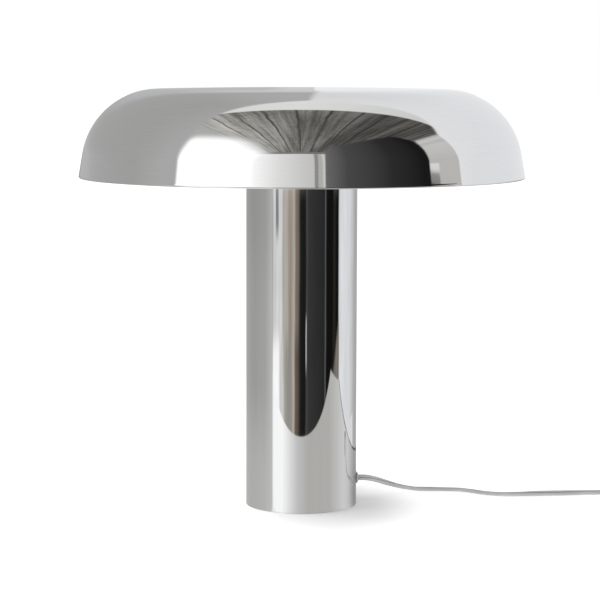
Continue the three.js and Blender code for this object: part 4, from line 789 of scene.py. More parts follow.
HOLDER_HEIGHT = 332.4
LAMP_AZIMUTHS = [math.radians(degrees) for degrees in (90, 210, 330)]


def make_lampholder(number, place):
    start, end, radius, bore, nipple_bore = 33, 79, 13.5, 8.1, 5.3
    outline = rounded([
        (nipple_bore, start), (6.9, start), (8, start + 1.2), (8, start + 4.4), (10.8, start + 6.4),
        (radius, start + 9), (radius, start + 14), (radius + 0.6, start + 14.4),
        (radius + 0.6, start + 16.1), (radius, start + 16.5), (radius, end - 5),
        (radius + 1.2, end - 4.2), (radius + 1.2, end - 0.9), (radius + 0.3, end), (bore, end),
        (bore, end - 30), (nipple_bore, end - 30), (nipple_bore, start)], 0.5, 3)
    dress(f"lampholder_{number}", lathe(outline, ROUND, place, 40))
    dress(f"nipple_{number}", threaded(5, 0.35, 1, 24, 38, place, 8, bore=3.5))


def make_bulb_cap(number, place):
    """An E14 cap: a skirt with its thread, a glass insulator and the button in its middle."""
    button, cone, thread, skirt, end = 55.2, 56.2, 58.8, 73.4, 80
    meshes = [
        lathe(rounded([(0, skirt), (6.9, skirt), (7.1, 74), (7.8, 74.8), (7.8, end), (0, end)], 0.3, 2),
              ROUND, place),
        threaded(6.95, 0.55, 2.82, thread, 74.6, place, 14, ROUND),
        lathe(rounded([(0, cone), (2.6, cone + 0.1), (6.0, 58.6), (6.3, 59.2), (0, 59.2)], 0.3, 2),
              SMALL, place),
        lathe(rounded([(0, button), (1.7, button), (2.4, 55.8), (2.4, 56.6), (0, 56.6)], 0.4, 3),
              SMALL, place)]
    for mesh, slot in zip(meshes, ("bulb_cap", "bulb_cap", "rocker", "pins")):
        mesh.materials.append(slot_materials[slot])
    dress(f"bulb_cap_{number}", joined(*meshes))


def make_bulb_glass(number, place):
    start, end, globe, neck, foot, wall = 80.3, 134.3, 22.5, 10.5, 7.8, 0.9

    def glass(offset, steps):
        reach, waist = globe - offset, neck - offset
        join = math.pi - math.asin(waist / reach) * 1.25
        ball = arc(0, end - globe, reach, join, 0, steps)
        ball[-1] = (0, ball[-1][1])
        bow = bezier((foot + 0.3 - offset, start + 1.2), (9.6 - offset, start + 3.4),
                     (waist - 0.2, start + 5.5), ball[0], 10)
        return [(foot - offset, start)] + bow + ball

    outline = glass(0, 36) + glass(wall, 28)[::-1]
    dress(f"bulb_glass_{number}", lathe(outline, ROUND, place, 50))


def make_drum():
    bottom, top, radius, bore, hole = 312.4, 352.4, 28, 26.5, 5.3
    outline = rounded([(hole, bottom), (radius, bottom), (radius, top), (bore, top), (bore, bottom + 2),
                       (hole, bottom + 2), (hole, bottom)], 0.7, 4)
    cutters = [lathe(rod(hole, 20, 32), SMALL, outward(azimuth, HOLDER_HEIGHT)) for azimuth in LAMP_AZIMUTHS]
    dress("cluster_body", combined(lathe(outline), "DIFFERENCE", *cutters))
    seat, lip = top + 0.3, top - 2.7
    cover = rounded([(hole, seat), (24.7, seat), (24.7, lip), (26.2, lip), (26.2, seat),
                     (radius, seat), (radius, seat + 1.1), (radius - 0.5, seat + 1.5), (hole, seat + 1.5),
                     (hole, seat)], 0.35, 3)
    dress("cluster_cover", lathe(cover))


for number, azimuth in enumerate(LAMP_AZIMUTHS, 1):
    make_lampholder(number, outward(azimuth, HOLDER_HEIGHT))
    make_bulb_cap(number, outward(azimuth, HOLDER_HEIGHT))
    make_bulb_glass(number, outward(azimuth, HOLDER_HEIGHT))
make_drum()


# Cap, rod, nuts and felt

def make_nuts():
    for node in ("stem_nut", "cover_nut", "carrier_nut", "top_nut", "lower_nut"):
        low, high = box_of(node)
        dress(node, hexagon_nut(14, low[2], high[2], 5.3))


def make_rod():
    low, high = box_of("tie_rod")
    dress("tie_rod", threaded(5, 0.3, 1.5, low[2], high[2], rounds=6, bore=3.5))


def make_cap():
    low, high = box_of("stem_cap")
    top, bottom, hole = high[2], low[2], 5.3
    flange = top - 2
    outline = rounded([(hole, flange), (45.2, flange), (45.2, bottom), (48.2, bottom), (48.2, flange),
                       (49.7, flange), (49.7, top), (hole, top), (hole, flange)], 0.4, 3)
    cable_hole = lathe(rod(4.2, flange - 2, top + 2), SMALL, spin(math.radians(150), "Z") @ shift(20))
    dress("stem_cap", combined(lathe(outline), "DIFFERENCE", cable_hole))


def make_felt():
    radius, _, thick = box_of("felt_pad")[1]
    dress("felt_pad", lathe(rounded(rod(radius, 0, thick), 0.5, 3)), "felt_fine")


make_nuts()
make_rod()
make_cap()
make_felt()


# Carrier, collar and thumb screws

SCREW_AZIMUTHS = [math.radians(degrees) for degrees in (30, 150, 270)]
SCREW_HEIGHT = 366.14
CARRIER_TOP = SCREW_HEIGHT + 7


def make_carrier():
    hole, rim, radius = 5.3, 39.5, 42
    top, floor, bottom = CARRIER_TOP, CARRIER_TOP - 3, CARRIER_TOP - 12
    outline = rounded([(hole, floor), (rim, floor), (rim, bottom), (radius, bottom), (radius, top),
                       (hole, top), (hole, floor)], 0.4, 3)
    vents = []
    for i in range(6):
        place = spin(i * math.pi / 3, "Z") @ shift(26)
        vents.append(lathe(rod(6.5, top - 5, top + 2), SMALL, place))
    dress("shade_carrier", combined(lathe(outline), "DIFFERENCE", *vents))


def make_collar():
    low, high = box_of("shade_collar")
    bottom, top, bore, radius = low[2], high[2], 42.6, 45.6
    outline = rounded([(bore, bottom), (radius, bottom), (radius, top), (bore, top), (bore, bottom)], 0.4, 3)
    places = [outward(azimuth, SCREW_HEIGHT) for azimuth in SCREW_AZIMUTHS]
    bosses = [lathe(rounded(rod(4.5, 44.2, 49), 0.4, 3), SMALL, place) for place in places]
    holes = [lathe(rod(2.3, 40, 52), SMALL, place) for place in places]
    collar = combined(combined(lathe(outline), "UNION", *bosses), "DIFFERENCE", *holes)
    dress("shade_collar", collar)


def make_thumb_screw(number, place):
    start, end, radius, flute, lobes = 53.7, 61.7, 5.5, 0.7, 10
    rings = []
    for z, drop in ((start, 0.8), (start + 0.2, 0.4), (start + 0.7, 0), (end - 0.9, 0), (end - 0.3, 0.3),
                    (end - 0.05, 0.9), (end - 0.05, 2.6), (end - 0.4, 3.1)):
        depth = flute if drop < 1.5 else 0
        rings.append(ring(lambda angle: radius - drop - depth * (0.5 - 0.5 * math.cos(lobes * angle)), z,
                          ROUND * 2))
    head = loft(rings, place, 35)
    shank = threaded(2, 0.18, 0.7, 42.3, 50, place, 8)
    neck = lathe(rod(1.85, 49.8, start + 1), SMALL, place)
    dress(f"thumb_screw_{number}", joined(head, shank, neck))


make_carrier()
make_collar()
for number, azimuth in enumerate(SCREW_AZIMUTHS, 1):
    make_thumb_screw(number, outward(azimuth, SCREW_HEIGHT))


# In-line switch

SWITCH_PLACE = shift(325, 46.5)
SWITCH_SPLIT = 9.5
SWITCH_TOP = 19
SWITCH_SCREW_REACH = 21
ROCKER_PIVOT = 12.4
ROCKER_THROW = math.radians(7)


def switch_outline():
    """Seen from above: full width round the rocker, drawn in towards the lead at both ends."""
    half, waist, wide, narrow, corner = 31, 12.4, 13, 6, 1.8
    middle = (half + waist) / 2
    right = bezier((waist, -wide), (middle, -wide), (middle, -narrow), (half, -narrow), 18)
    lower = [point for point in right if point[0] < half - corner]
    lower += arc(half - corner, corner - narrow, corner, math.pi, QUARTER, 5)
    side = lower + [(x, -y) for x, y in lower[::-1]]
    return side + [(-x, -y) for x, y in side]


def switch_screw_place(x):
    return SWITCH_PLACE @ shift(x)


def make_switch_shells():
    outline, edge, seam = switch_outline(), 1.6, 0.25
    lower = slab(outline, 0, SWITCH_SPLIT - 0.3, edge, seam, SWITCH_PLACE)
    wells = [lathe(rod(3, -2, 3.1), SMALL, switch_screw_place(x))
             for x in (-SWITCH_SCREW_REACH, SWITCH_SCREW_REACH)]
    mouths = [box_mesh((x, -2.9, 2.7), (x + 6, 2.9, 6.5), SWITCH_PLACE) for x in (-34, 28)]
    dress("switch_lower", combined(lower, "DIFFERENCE", *wells, *mouths))
    upper = slab(outline, SWITCH_SPLIT, SWITCH_TOP, seam, edge, SWITCH_PLACE)
    window = slab(plate(-10.75, -4.8, 10.75, 4.8, 0.8), SWITCH_SPLIT - 1, SWITCH_TOP + 2, 0.01, 0.01,
                  SWITCH_PLACE)
    rim = slab(plate(-12.3, -6.3, 12.3, 6.3, 2), SWITCH_TOP - 0.5, SWITCH_TOP + 2, 0.25, 0.01,
               SWITCH_PLACE)
    dress("switch_upper", combined(upper, "DIFFERENCE", window, rim))


def make_switch_screw(number, place):
    """A screw with a cross slot, whose head is sunk in the lower shell."""
    bottom, top, radius, shank, slot = 0.8, 2.8, 2.7, 1.5, 0.3
    head = lathe(rounded([
        (0, bottom), (radius - 0.2, bottom), (radius, bottom + 0.4), (radius, top), (shank, top),
        (shank, 14.5), (0, 14.5)], 0.25, 2), SMALL, place)
    slots = [box_mesh((-1.6, -slot, 0), (1.6, slot, 1.7), place),
             box_mesh((-slot, -1.6, 0), (slot, 1.6, 1.7), place)]
    dress(f"switch_screw_{number}", combined(head, "DIFFERENCE", *slots))


def make_rocker():
    half, width, keel, top, dip = 9.5, 4.5, 2.2, 8.4, 1.6
    ridge, ridge_half, ridge_places = 0.22, 0.36, (5.2, 6.4, 7.6)
    end = half - 0.8
    crest = []
    for i in range(49):
        x = end * (1 - 2 * i / 48)
        rise = max(0, *(1 - ((abs(x) - place) / ridge_half) ** 2 for place in ridge_places))
        crest.append((x, top - dip * (1 - (x / end) ** 2) - 0.1 + ridge * rise))
    outline = [(0, -keel), (half, keel), (half, top - 0.8), *crest, (-half, top - 0.8), (-half, keel)]
    rings = []
    for y, amount in ((-width, 0.35), (-4.4, 0.12), (-4.15, 0), (4.15, 0), (4.4, 0.12), (width, 0.35)):
        rings.append([(x, y, z) for x, z in inset(outline, amount)])
    place = SWITCH_PLACE @ shift(z=ROCKER_PIVOT)
    place = place @ spin(-ROCKER_THROW, "Y")
    axle = lathe(rod(1.5, -6.9, 6.9), 24, place @ spin(QUARTER, "X"))
    dress("switch_rocker", joined(loft(rings, place, 40), axle))


make_switch_shells()
for number, x in enumerate((-SWITCH_SCREW_REACH, SWITCH_SCREW_REACH), 1):
    make_switch_screw(number, switch_screw_place(x))
make_rocker()


# Tie round the coil

def make_tie():
    (x0, y0, z0), (x1, y1, z1) = box_of("coil_tie")
    middle, half, thick = (y0 + y1) / 2, 6, 0.8
    bevel_share = 0.3
    outer = plate(x0, z0, x1, z1, 3.2, 10)
    rings = []
    for (ox, oz), (ix, iz) in zip(outer, inset(outer, thick)):
        bx, bz = ox + (ix - ox) * bevel_share, oz + (iz - oz) * bevel_share
        front, back = middle - half, middle + half
        rings.append([(ox, front + 0.15, oz), (ox, back - 0.15, oz), (bx, back, bz),
                      (ix, back, iz), (ix, front, iz), (bx, front, bz)])
    band = loft(rings, sharp=40, closed=True)
    flap = slab(plate(x0 + 6, middle - 5.7, x1 - 7, middle + 5.7, 2), z1 - 0.1, z1 + thick, 0.1, 0.3)
    dress("coil_tie", joined(band, flap))


make_tie()


# Plug with two round pins

PLUG_SIDE = 388.1
PLUG_FACE = 199.8
PLUG_HEIGHT = 13.7
PLUG_LENGTH = 35
PLUG_RIBS = 4
PLUG_RIB_SHARES = ((0, 0), (0.44, 0), (0.52, 0.2), (0.58, 1), (0.9, 1), (0.97, 0.2))


def plug_outline():
    """Seen from above: full width behind the face, drawn in towards the lead."""
    wide, narrow, corner = 17.65, 6.5, 3
    full = -PLUG_LENGTH * 0.34
    middle = (full - PLUG_LENGTH) / 2
    half = bezier((narrow, -PLUG_LENGTH), (narrow, middle), (wide, middle), (wide, full), 20)[:-1]
    half += arc(wide - corner, -corner, corner, QUARTER, 0, 6)
    return half + [(-x, y) for x, y in half[::-1]]


def plug_grips(place):
    """Grooves across the upper and lower faces, for the fingers."""
    depths = (-PLUG_HEIGHT / 2 - 0.45, PLUG_HEIGHT / 2 - 0.35)
    grips = []
    for i in range(4):
        y, reach = -18.6 - 3 * i, 7.2 - 0.9 * i
        for z in depths:
            grips.append(slab(plate(-reach, y - 0.8, reach, y + 0.8, 0.75), z, z + 0.8, 0.3, 0.3, place))
    return grips


def plug_tail(place):
    wide, tip, length, groove = 5.5, 3.8, 21, 0.9
    outline = [(0, -5), (wide, -5)]
    for i in range(PLUG_RIBS):
        for share, drop in PLUG_RIB_SHARES:
            along = (i + share) / PLUG_RIBS
            outline.append((wide + (tip - wide) * along - groove * drop, length * along))
    outline += [(tip, length - 0.4), (tip - 0.4, length), (0, length)]
    return lathe(outline, SMALL, place, 40)


def make_pin(number, place):
    """A pin, sleeved where it leaves the plug."""
    sleeve = lathe(rounded(rod(1.9, -8, 10), 0.2, 2), SMALL, place)
    sleeve.materials.append(slot_materials["rocker"])
    bar = lathe([(0, 9.9), (2, 9.9), (2, 17), *arc(0, 17, 2, QUARTER, 0, 8)[1:-1], (0, 19)], SMALL,
                place, 40)
    bar.materials.append(slot_materials["pins"])
    dress(f"plug_pin_{number}", joined(sleeve, bar))


def plug_place(x, y, turned=0):
    """A place on the plug's middle level, lying along it where it is turned by a quarter."""
    place = shift(PLUG_SIDE + x, PLUG_FACE + y, PLUG_HEIGHT / 2)
    return place @ spin(turned * QUARTER, "X")


def make_plug():
    place = plug_place(0, 0)
    body = slab(plug_outline(), -PLUG_HEIGHT / 2, PLUG_HEIGHT / 2, 2.5, 2.5, place, 7)
    body = combined(body, "DIFFERENCE", *plug_grips(place))
    body = combined(body, "UNION", plug_tail(plug_place(0, -PLUG_LENGTH, 1)))
    dress("plug_body", body, "plug_fine")
    for number, x in enumerate((-9.3, 9.3), 1):
        make_pin(number, plug_place(x, 0, -1))


make_plug()

cord.data.materials.append(slot_materials["lead"])
cord.data.materials.append(lead_groove_shade)
# Faces in the groove between the cores take the darker sheath: painted shade in the crease.
for face in cord.data.polygons:
    place = face.index % (CORD_CORE_POINTS + 1)
    if len(face.vertices) == 4 and place >= CORD_CORE_POINTS - 1:
        face.material_index = 1
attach(cord, "lamp")
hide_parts("cord_run", "cord_link", "cord_coil", "cord_end")


# Studio: what the plate mirrors, the floor and the lamps

MIRROR_GAIN = 1 / CHROME_TONE
FRONT_WALL = ((-4, 1.86), (4, 1.86), 0.03)  # its edge on the ceiling's plane, and how softly it fades
BACK_WALL = ((4, -0.19), (-4, -0.19), 0.02)
CARDS_MEET = ((0.18, -29), (0.03, 0), 0.02)  # between the grey card at the left and the pale one
NEAR_WHITE = (1, 0.99, 0.97)
CREAM = (1, 0.98, 0.95)
IVORY = (1, 1, 0.985)
BOARD = (1, 0.975, 0.91)
BUFF = (1, 0.945, 0.86)
WARM = (1, 0.86, 0.72)
BROWN = (1, 0.78, 0.6)
BLUE = (1, 1.005, 1.035)


class Room(Graph):
    """The room that the plate mirrors, by direction.

    Over the horizon it is laid out on a level plane overhead, where u runs to the right and w towards the
    camera. At the horizon and under it, its tones go by bearing from the camera's side, as a share of a turn.
    """

    def __init__(self, tree):
        super().__init__(tree)
        self.direction = self.add("ShaderNodeTexCoord").outputs["Generated"]
        x, y, self.z = self.split(self.direction)
        height = self.math("MAXIMUM", self.z, 0.04)
        self.u = self.over(x, height)
        self.w = self.over(self.times(y, -1.0), height)
        self.slope = self.over(self.u, self.math("MAXIMUM", self.w, 0.05))
        sway = self.noise(self.stretched(self.direction, (1.5, 1.5, 26)), 1.0, 2.0)
        straight = self.line(self.math("ARCTAN2", x, self.times(y, -1.0)), 0.5 / math.pi, 0.5)
        self.share = self.line(self.math("SUBTRACT", sway, 0.5), 0.008, straight)

    def area(self, *edges):
        """1 on the left of every edge, each with its start, its end and how softly it fades."""
        return self.times(*[self.side(self.u, self.w, *edge) for edge in edges])

    def paint(self, mask, colour):
        """Lays a colour over what the room has so far."""
        self.colour = self.blend(mask, self.colour, colour)

    def panel(self, mask, *grey):
        self.paint(mask, tone(*grey))

    def between(self, low, high, soft):
        """Is 1 between two bearings, and fades over a soft width in degrees."""
        return self.times(self.step(self.share, turn(low - soft), turn(low)),
                          self.step(self.share, turn(high + soft), turn(high)))

    def ceiling(self):
        """Board-marked ceiling with open joints, lit near the window."""
        warped = self.line(self.noise(self.direction, 3.0, 2.0), 0.05, self.u)
        boards = self.combine(self.times(warped, 26.0), self.times(self.w, 0.8))
        streak = self.noise(boards, 1.0, 6.0, 0.72)
        plank = self.noise(self.stretched(boards, (0.19, 0.9, 1)), 1.0, 1.0)
        self.colour = self.ramp(
            self.plus(self.times(streak, 0.62), self.times(plank, 0.38)),
            (0.32, 50, (1, 0.96, 0.87)), (0.45, 98, (1, 0.965, 0.88)), (0.55, 126, BOARD),
            (0.7, 160, (1, 0.99, 0.95)))
        joint = self.step(self.math("PINGPONG", self.times(warped, 6.1), 0.5), 0.0, 0.085, 0.85, 0.0)
        self.panel(self.times(joint, self.step(plank, 0.34, 0.5, 0.35, 1.0)), 40)
        across = self.combine(self.times(warped, 9.0), self.times(self.w, 22.0))
        marks = self.step(self.noise(across, 1.0, 4.0, 0.65), 0.3, 0.7, 0.86, 1.12)
        right_dark = self.step(self.u, -0.05, 0.5, 1.0, 0.5)
        left_light = self.step(self.u, 0.02, -0.75, 1.0, 2.3)
        self.colour = self.scaled(self.colour, self.times(marks, right_dark, left_light))
        far = self.math("MAXIMUM", self.math("ABSOLUTE", self.u), self.math("ABSOLUTE", self.w))
        self.panel(self.step(far, 2.5, 4.0), 116, BOARD)
        self.panel(self.step(self.u, -0.45, -0.85), 171, (1, 0.995, 0.98))

    def front_wall(self):
        """Wall across the front, under the ceiling's edge, with three upright strips at its right."""
        ceiling_edge = self.area(((-4, 1.64), (4, 1.64), 0.03), ((4, 1.85), (-4, 1.85), 0.02))
        self.panel(self.times(ceiling_edge, 0.75), 118, CREAM)
        self.paint(self.area(FRONT_WALL), self.ramp(
            self.plus(self.slope, 0.6), (0.02, 255), (0.14, 248), (0.28, 232, (1, 1, 0.99)),
            (0.4, 218, IVORY), (0.6, 200, (1, 0.99, 0.98)), (0.7, 192, NEAR_WHITE)))
        self.panel(self.area(FRONT_WALL, ((0.38, 3.37), (0.213, 1.93), 0.02)), 138, (1, 0.98, 0.94))
        self.panel(self.area(FRONT_WALL, ((0.49, 3.37), (0.285, 1.93), 0.02)), 173, (1, 0.98, 0.93))
        self.panel(self.area(FRONT_WALL, ((0.63, 3.33), (0.33, 1.8), 0.03)), 200, (1, 0.99, 0.96))

    def window(self):
        """Window card at the left of the camera, on the ceiling's plane and down the front wall."""
        right_edge = ((-4, 1.66), (-1.07, 0.35), 0.09)
        bright = (1.05, 1.05, 1.05)
        self.panel(self.area(
            right_edge, ((-1.1, 0.33), (-0.72, 0.62), 0.2), ((-0.58, 0.62), (-0.66, 1.9), 0.26),
            ((4, 1.9), (-4, 1.9), 0.05)), 255, bright)
        self.panel(self.area(right_edge, FRONT_WALL, ((-0.75, 1.8), (-2.6, 5.0), 0.1)), 255, bright)

    def far_right(self):
        """Wall at the far right, with what shows low on the skirt."""
        wall = self.area(((4, 1.56), (1.33, 0.48), 0.04), ((1.2, -0.03), (4, 0.08), 0.04),
                         ((1.22, 1), (1.22, -1), 0.05))
        self.paint(wall, self.ramp(self.over(self.u, 4.0), (0.3, 160, CREAM), (0.34, 196, NEAR_WHITE),
                                   (0.38, 178), (0.42, 192, (1, 0.985, 0.96)), (0.9, 182, CREAM)))
        climb = self.line(self.u, 0.0305, self.z)  # level along a row of the skirt
        start = self.step(self.slope, 2.35, 2.45)
        near = self.times(start, self.step(self.slope, 3.9, 3.5))
        self.panel(self.times(near, self.step(climb, 0.3512, 0.3506)), 214, (1, 0.99, 0.98))
        self.panel(self.times(near, self.step(climb, 0.3489, 0.3483)), 132, (1, 0.98, 0.96))
        self.panel(self.times(start, self.step(self.slope, 12, 11), self.step(climb, 0.3468, 0.3462)), 30)

    def dark_card(self):
        """Dark card at the right of the camera."""
        card = self.area(((0.37, 1.27), (0.83, 0.47), 0.05), ((0.7, 3.33), (0.37, 1.7), 0.03),
                         ((0.7, 0.46), (1.2, 0.46), 0.03), ((1.2, 0.46), (1.667, 0.6), 0.04),
                         ((1.667, 0.6), (4, 1.533), 0.04), ((0.37, 3), (0.37, 0), 0.03))
        self.paint(card, self.ramp(self.over(self.slope, 2.4), (0.08, 104, (1, 1, 1.02)), (0.18, 70),
                                   (0.45, 42), (0.9, 24)))

    def back_wall(self):
        """Back wall over the two cards behind the lamp."""
        self.paint(self.area(BACK_WALL), self.ramp(
            self.step(self.u, -0.6, 0.7), (0.0, 214, IVORY), (0.45, 217, IVORY), (1.0, 202, (1, 1, 0.99))))

    def far_behind(self):
        """Where the cards stand far behind the lamp, over its crown."""
        aside = self.math("ABSOLUTE", self.u)
        return self.times(self.step(self.line(aside, 1.5, self.w), -0.6, -2.2),
                          self.step(self.w, -1.7, -2.6), self.step(aside, 1.7, 0.6))

    def grey_card(self):
        """Grey card behind the lamp at the left."""
        buff = (1, 0.997, 0.985)
        card = self.area(((-0.37, -0.22), (-0.63, 0.03), 0.03), ((0.02, -0.66), (-0.37, -0.22), 0.03),
                         ((-0.63, 0.03), (-1.13, 0.36), 0.06), ((-1.13, 0.36), (-4, 1.66), 0.1), CARDS_MEET)
        grey = self.ramp(self.line(self.w, 1 / 21.6, 20 / 21.6),
                         (0.0, 172, (1, 1, 1.005)), (0.45, 165), (0.9, 157, buff), (1.0, 170, buff))
        grey = self.blend(self.area(((-1.13, 0.1), (-4, 1.1), 0.35)), tone(166), grey)
        middle = self.times(self.step(self.u, -0.36, -0.02), self.step(self.w, -2.6, -0.9), 0.8)
        grey = self.blend(middle, grey, tone(170))
        sky = self.blend(self.step(self.u, -0.4, -0.1),
                         tone(172, (0.99, 1, 1.02)), tone(188, (0.99, 1, 1.01)))
        self.paint(card, self.blend(self.far_behind(), grey, sky))

    def pale_card(self):
        """Pale card behind the lamp at the right."""
        card = self.area(((1.27, -0.02), (0.8, -0.24), 0.04), ((0.8, -0.24), (0.03, -0.64), 0.04),
                         ((4, 0.09), (1.27, -0.02), 0.03), CARDS_MEET[1::-1] + CARDS_MEET[2:])
        pale = self.ramp(self.step(self.u, 0.0, 0.7), (0.0, 209, (1, 1, 1.005)),
                         (0.45, 213, (0.995, 1, 1.02)), (1.0, 219, (0.995, 1, 1.025)))
        pale = self.blend(self.step(self.w, -1.2, 0.0), pale, tone(222, (1, 1, 1.01)))
        self.paint(card, self.blend(self.far_behind(), pale, tone(217, (0.99, 1, 1.02))))

    def over_horizon(self):
        self.ceiling()
        self.front_wall()
        self.window()
        self.far_right()
        self.dark_card()
        self.back_wall()
        self.grey_card()
        self.pale_card()
        return self.colour

    def left_band(self):
        """Grey card, window, wall and door post, from straight behind round by the left to the camera."""
        card = self.turn_ramp(self.share, (-180, 168), (-155, 151), (-110, 151), (-64, 168))
        upper = self.turn_ramp(
            self.share, (-62, 172), (-60, 205), (-42, 205), (-38, 170, BUFF), (-30, 172, BUFF),
            (-26, 150, WARM), (-20, 152, WARM), (-16, 178, BUFF), (-12, 124, BROWN), (-8, 118, BROWN),
            (-3, 38))
        lower = self.turn_ramp(
            self.share, (-62, 190), (-60, 248), (-48, 248), (-45, 200), (-39, 198), (-35, 165, BUFF),
            (-28, 146, BUFF), (-21, 146, BUFF), (-16, 182, BUFF), (-13, 102, BROWN), (-8, 90, BROWN),
            (-3, 44, BROWN))
        side = self.blend(self.step(self.z, -0.13, -0.112), lower, upper)
        return self.blend(self.step(self.share, turn(-62.6), turn(-62.4)), card, side)

    def right_band(self):
        """Dark card and its gaps, then the pale card, from the camera round by the right."""
        return self.turn_ramp(
            self.share, (-3, 34), (2, 24), (8, 26), (10, 70), (14, 51), (48, 38), (50.5, 90), (52.5, 18),
            (66, 16), (72, 40, WARM), (77, 16), (82, 16), (84, 206), (90, 219, BLUE), (118, 209, BLUE),
            (130, 192), (145, 162), (160, 162), (180, 192))

    def under_horizon(self):
        colour = self.blend(self.step(self.share, 0.4899, 0.4901), self.left_band(), self.right_band())
        drift = self.noise(self.stretched(self.direction, (5, 5, 40)), 1.0, 1.0)
        self.colour = self.scaled(colour, self.step(drift, 0.25, 0.75, 0.95, 1.05))
        streaks = self.combine(self.times(self.share, 260.0), self.times(self.z, 14.0))
        lines = self.noise(streaks, 1.0, 4.0, 0.6)
        lit = self.times(self.between(-60, -6, 2), self.step(self.z, -0.15, -0.13))
        self.paint(lit, self.scaled(self.colour, self.step(lines, 0.3, 0.7, 0.88, 1.12)))
        rail = self.times(self.step(self.z, -0.08, -0.068), self.between(-54.5, -50, 2), 0.85)
        self.panel(rail, 108, (0.93, 1, 1.1))
        spark = self.times(self.step(self.z, -0.138, -0.128), self.step(self.z, -0.108, -0.114))
        self.panel(self.times(spark, self.between(8.6, 9.8, 0.9)), 176)
        slant = self.line(self.plus(self.z, 0.105), -1.53, self.share)
        wood = self.times(self.step(slant, turn(84), turn(89)), self.between(66, 83.2, 1.2))
        self.paint(wood, self.scaled(tone(118, (1, 0.93, 0.75)), self.step(lines, 0.3, 0.7, 0.66, 1.3)))
        return self.colour

    def light(self, colour, strength):
        return self.add("ShaderNodeBackground", {"Color": colour, "Strength": strength}).outputs[0]


def make_world():
    """The mirrored room for rays off a polished surface, plain white for the camera and a soft light else."""
    world = bpy.data.worlds.new("studio")
    bpy.context.scene.world = world
    world.use_nodes = True
    room = Room(world.node_tree)
    mirrored = room.blend(room.step(room.z, -0.06, -0.02), room.under_horizon(), room.over_horizon())
    rays = room.add("ShaderNodeLightPath").outputs
    white = (1, 1, 1, 1)
    light = room.either(rays["Is Glossy Ray"], room.light(white, 0.8), room.light(mirrored, MIRROR_GAIN))
    room.show(room.either(rays["Is Camera Ray"], light, room.light(white, 1.0)), "ShaderNodeOutputWorld")


make_world()


# The table, as the plate mirrors it and as the camera sees it

TABLE_FRONT = -0.47  # edges of the table as the plate mirrors it
TABLE_RIGHT = 0.88
CARD_FOOT = ((0.904, -0.113), (0.184, 0.269), 0.002)  # where the pale card stands on the table
CARD_FOOT_SHADOW = ((0.176, 0.255), (0.896, -0.127), 0.002)  # a painted shadow in front of it, where it stands on the table
GREY_FOOT = ((-0.883, -0.469), (-0.0258, -0.0429), 0.007)  # where the grey card's mirror image begins
SCREEN_PLACE = 0.2755  # along X, of the low card that hides the coil from the plate
SCREEN_HEIGHT = 0.038
SCREEN_ENDS = (0.038, 0.21)  # along Y
SCREEN_FOOT = ((0.1608, 0.0082), (0.0935, 0.0206), (0.0363, 0.0363))  # the pale card's foot, seen across it


class Tabletop(Material):
    """The table's place, and the ray that the stem sends there."""

    def __init__(self, name):
        super().__init__(name)
        self.place = self.add("ShaderNodeNewGeometry").outputs["Position"]
        self.x, self.y, self.z = self.split(self.place)
        reach = self.math("SQRT", self.plus(self.times(self.x, self.x), self.times(self.y, self.y)))
        bearing = self.math("ARCTAN2", self.x, self.times(self.y, -1.0))
        stem_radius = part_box("stem_tube")[1][0]
        ratio = self.math("MINIMUM", self.over(stem_radius, reach), 1.0)
        ray = bearing
        for _ in range(3):
            half = self.math("SINE", self.times(ray, 0.5))
            ray = self.plus(bearing, self.math("ARCSINE", self.times(ratio, half)))
        self.share = self.line(ray, 0.5 / math.pi, 0.5)
        self.reach = reach

    def board(self):
        """The table as the plate mirrors it: bright towards the window at the left of the camera."""
        cool, warm = (1, 1, 1.005), (1, 0.985, 0.94)
        colour = self.turn_ramp(
            self.share, (-64, 176, cool), (-60, 246, cool), (-40, 248, cool), (-24, 220, cool), (-8, 190),
            (14, 172, warm), (60, 173, warm), (98, 201), (115, 196), (143, 154), (180, 154))
        away = self.step(self.share, turn(100), turn(150))
        shadow = self.times(away, self.step(self.reach, 0.3, 0.08), 0.2)
        return self.scaled(colour, self.math("SUBTRACT", 1.0, shadow))

    def grey(self):
        """The grey card's mirror image: lighter near the stem's foot."""
        buff = (1, 0.995, 0.98)
        far = self.turn_ramp(self.share, (-180, 166, buff), (-115, 154, buff), (-80, 162, buff), (-58, 190))
        near = self.turn_ramp(self.share, (-180, 176, buff), (-120, 172, buff), (-84, 177, buff), (-58, 190))
        card = self.blend(self.step(self.reach, 0.9, 0.15), far, near)
        return self.scaled(card, self.step(self.reach, 1.5, 4.0, 1.0, 0.9))


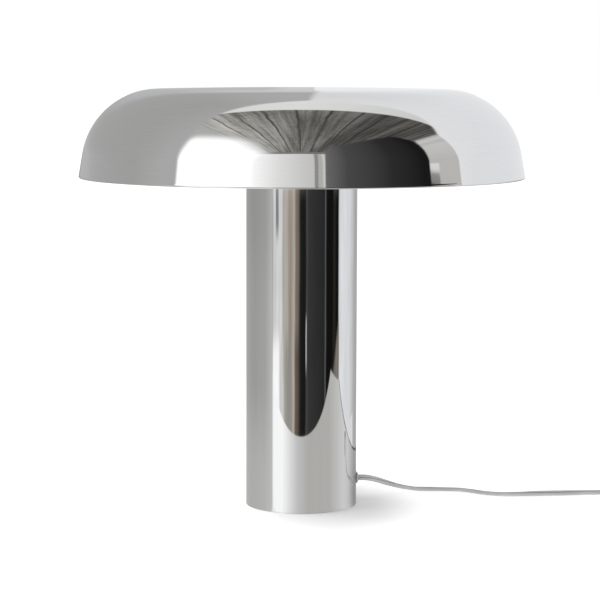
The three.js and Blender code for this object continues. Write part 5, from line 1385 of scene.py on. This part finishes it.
def make_floor():
    size = 30
    points = [(-size, -size, 0), (size, -size, 0), (size, size, 0), (-size, size, 0)]
    floor = add_object("floor", mesh_of(points, [(0, 1, 2, 3)]))
    table = Tabletop("floor")
    x, y = table.x, table.y
    lit = table.add("ShaderNodeBsdfDiffuse", {"Color": (0.97, 0.97, 0.97, 1)}).outputs[0]
    # The glow is weak round the lamp's foot and strong further off: painted shade that deepens the shadow at
    # the foot, and painted brightness that washes out the longer shadow.
    flat = table.stretched(table.place, (1, 0.55, 1))
    away = table.add("ShaderNodeVectorMath", {0: flat, 1: (0.03, -0.008, 0)}, operation="DISTANCE")
    white = table.glow((1, 1, 1, 1), table.step(away.outputs["Value"], 0.03, 0.092, 0.09, 0.42))
    seen = table.add("ShaderNodeAddShader", {0: lit, 1: white}).outputs[0]

    # A dark line along the pale card's foot: painted shadow.
    seam = table.times(table.side(x, y, *CARD_FOOT_SHADOW), 0.8)
    board = table.glow(table.blend(seam, table.board(), tone(60)), MIRROR_GAIN)
    clear = table.add("ShaderNodeBsdfTransparent").outputs[0]
    inside = table.times(table.step(y, TABLE_FRONT - 0.004, TABLE_FRONT + 0.004),
                         table.step(x, TABLE_RIGHT + 0.01, TABLE_RIGHT - 0.01), table.side(x, y, *CARD_FOOT))
    left = table.times(table.side(x, y, *GREY_FOOT), table.step(x, 0.004, 0.0))
    mirrored = table.either(left, table.either(inside, clear, board), table.glow(table.grey(), MIRROR_GAIN))
    rays = table.add("ShaderNodeLightPath").outputs
    whole = table.either(rays["Is Glossy Ray"], seen, mirrored)
    below = table.add("ShaderNodeNewGeometry").outputs["Backfacing"]
    table.show(table.either(below, whole, clear))
    floor.data.materials.append(table.made)


def make_cord_screen():
    """A low card in the table's tone, seen only by the plate, in front of the coil's mirror image."""
    start, end = SCREEN_ENDS
    corners = ((start, 0), (end, 0), (end, SCREEN_HEIGHT), (start, SCREEN_HEIGHT))
    points = [(SCREEN_PLACE, y, z) for y, z in corners]
    card = add_object("cord_screen", mesh_of(points, [(0, 1, 2, 3)]))
    table = Tabletop("cord_screen")
    back, middle, front = SCREEN_FOOT

    def over_foot(soft):
        return table.times(table.side(table.y, table.z, middle, back, soft),
                           table.side(table.y, table.z, front, middle, soft))

    # A dark line along the pale card's foot: painted shadow where it stands on the table.
    seam = table.math("ABSOLUTE", table.math("SUBTRACT", over_foot(0.0018), 0.5))
    colour = table.blend(over_foot(0.0005), table.board(), tone(214, (1, 1, 1.01)))
    colour = table.blend(table.step(seam, 0.5, 0.15, 0.0, 0.9), colour, tone(60))
    table.show(table.glow(colour, MIRROR_GAIN))
    card.data.materials.append(table.made)
    card.visible_camera = False
    card.visible_diffuse = False
    card.visible_shadow = False


make_floor()
make_cord_screen()


def make_lamp(name, place, target, size, power):
    data = bpy.data.lights.new(name, "AREA")
    data.shape = "DISK"
    data.size = size
    data.energy = power
    lamp = add_object(name, data)
    lamp.location = place
    lamp.rotation_euler = (Vector(target) - Vector(place)).to_track_quat("-Z", "Y").to_euler()
    lamp.visible_glossy = False


make_lamp("key", (-1.4, -0.6, 1.7), (0, 0, 0.1), 1.2, 7)
make_lamp("window", (-1.1, 0.3, 0.5), (0, 0, 0.05), 0.7, 4)

scene = bpy.context.scene
scene.view_settings.view_transform = "Standard"
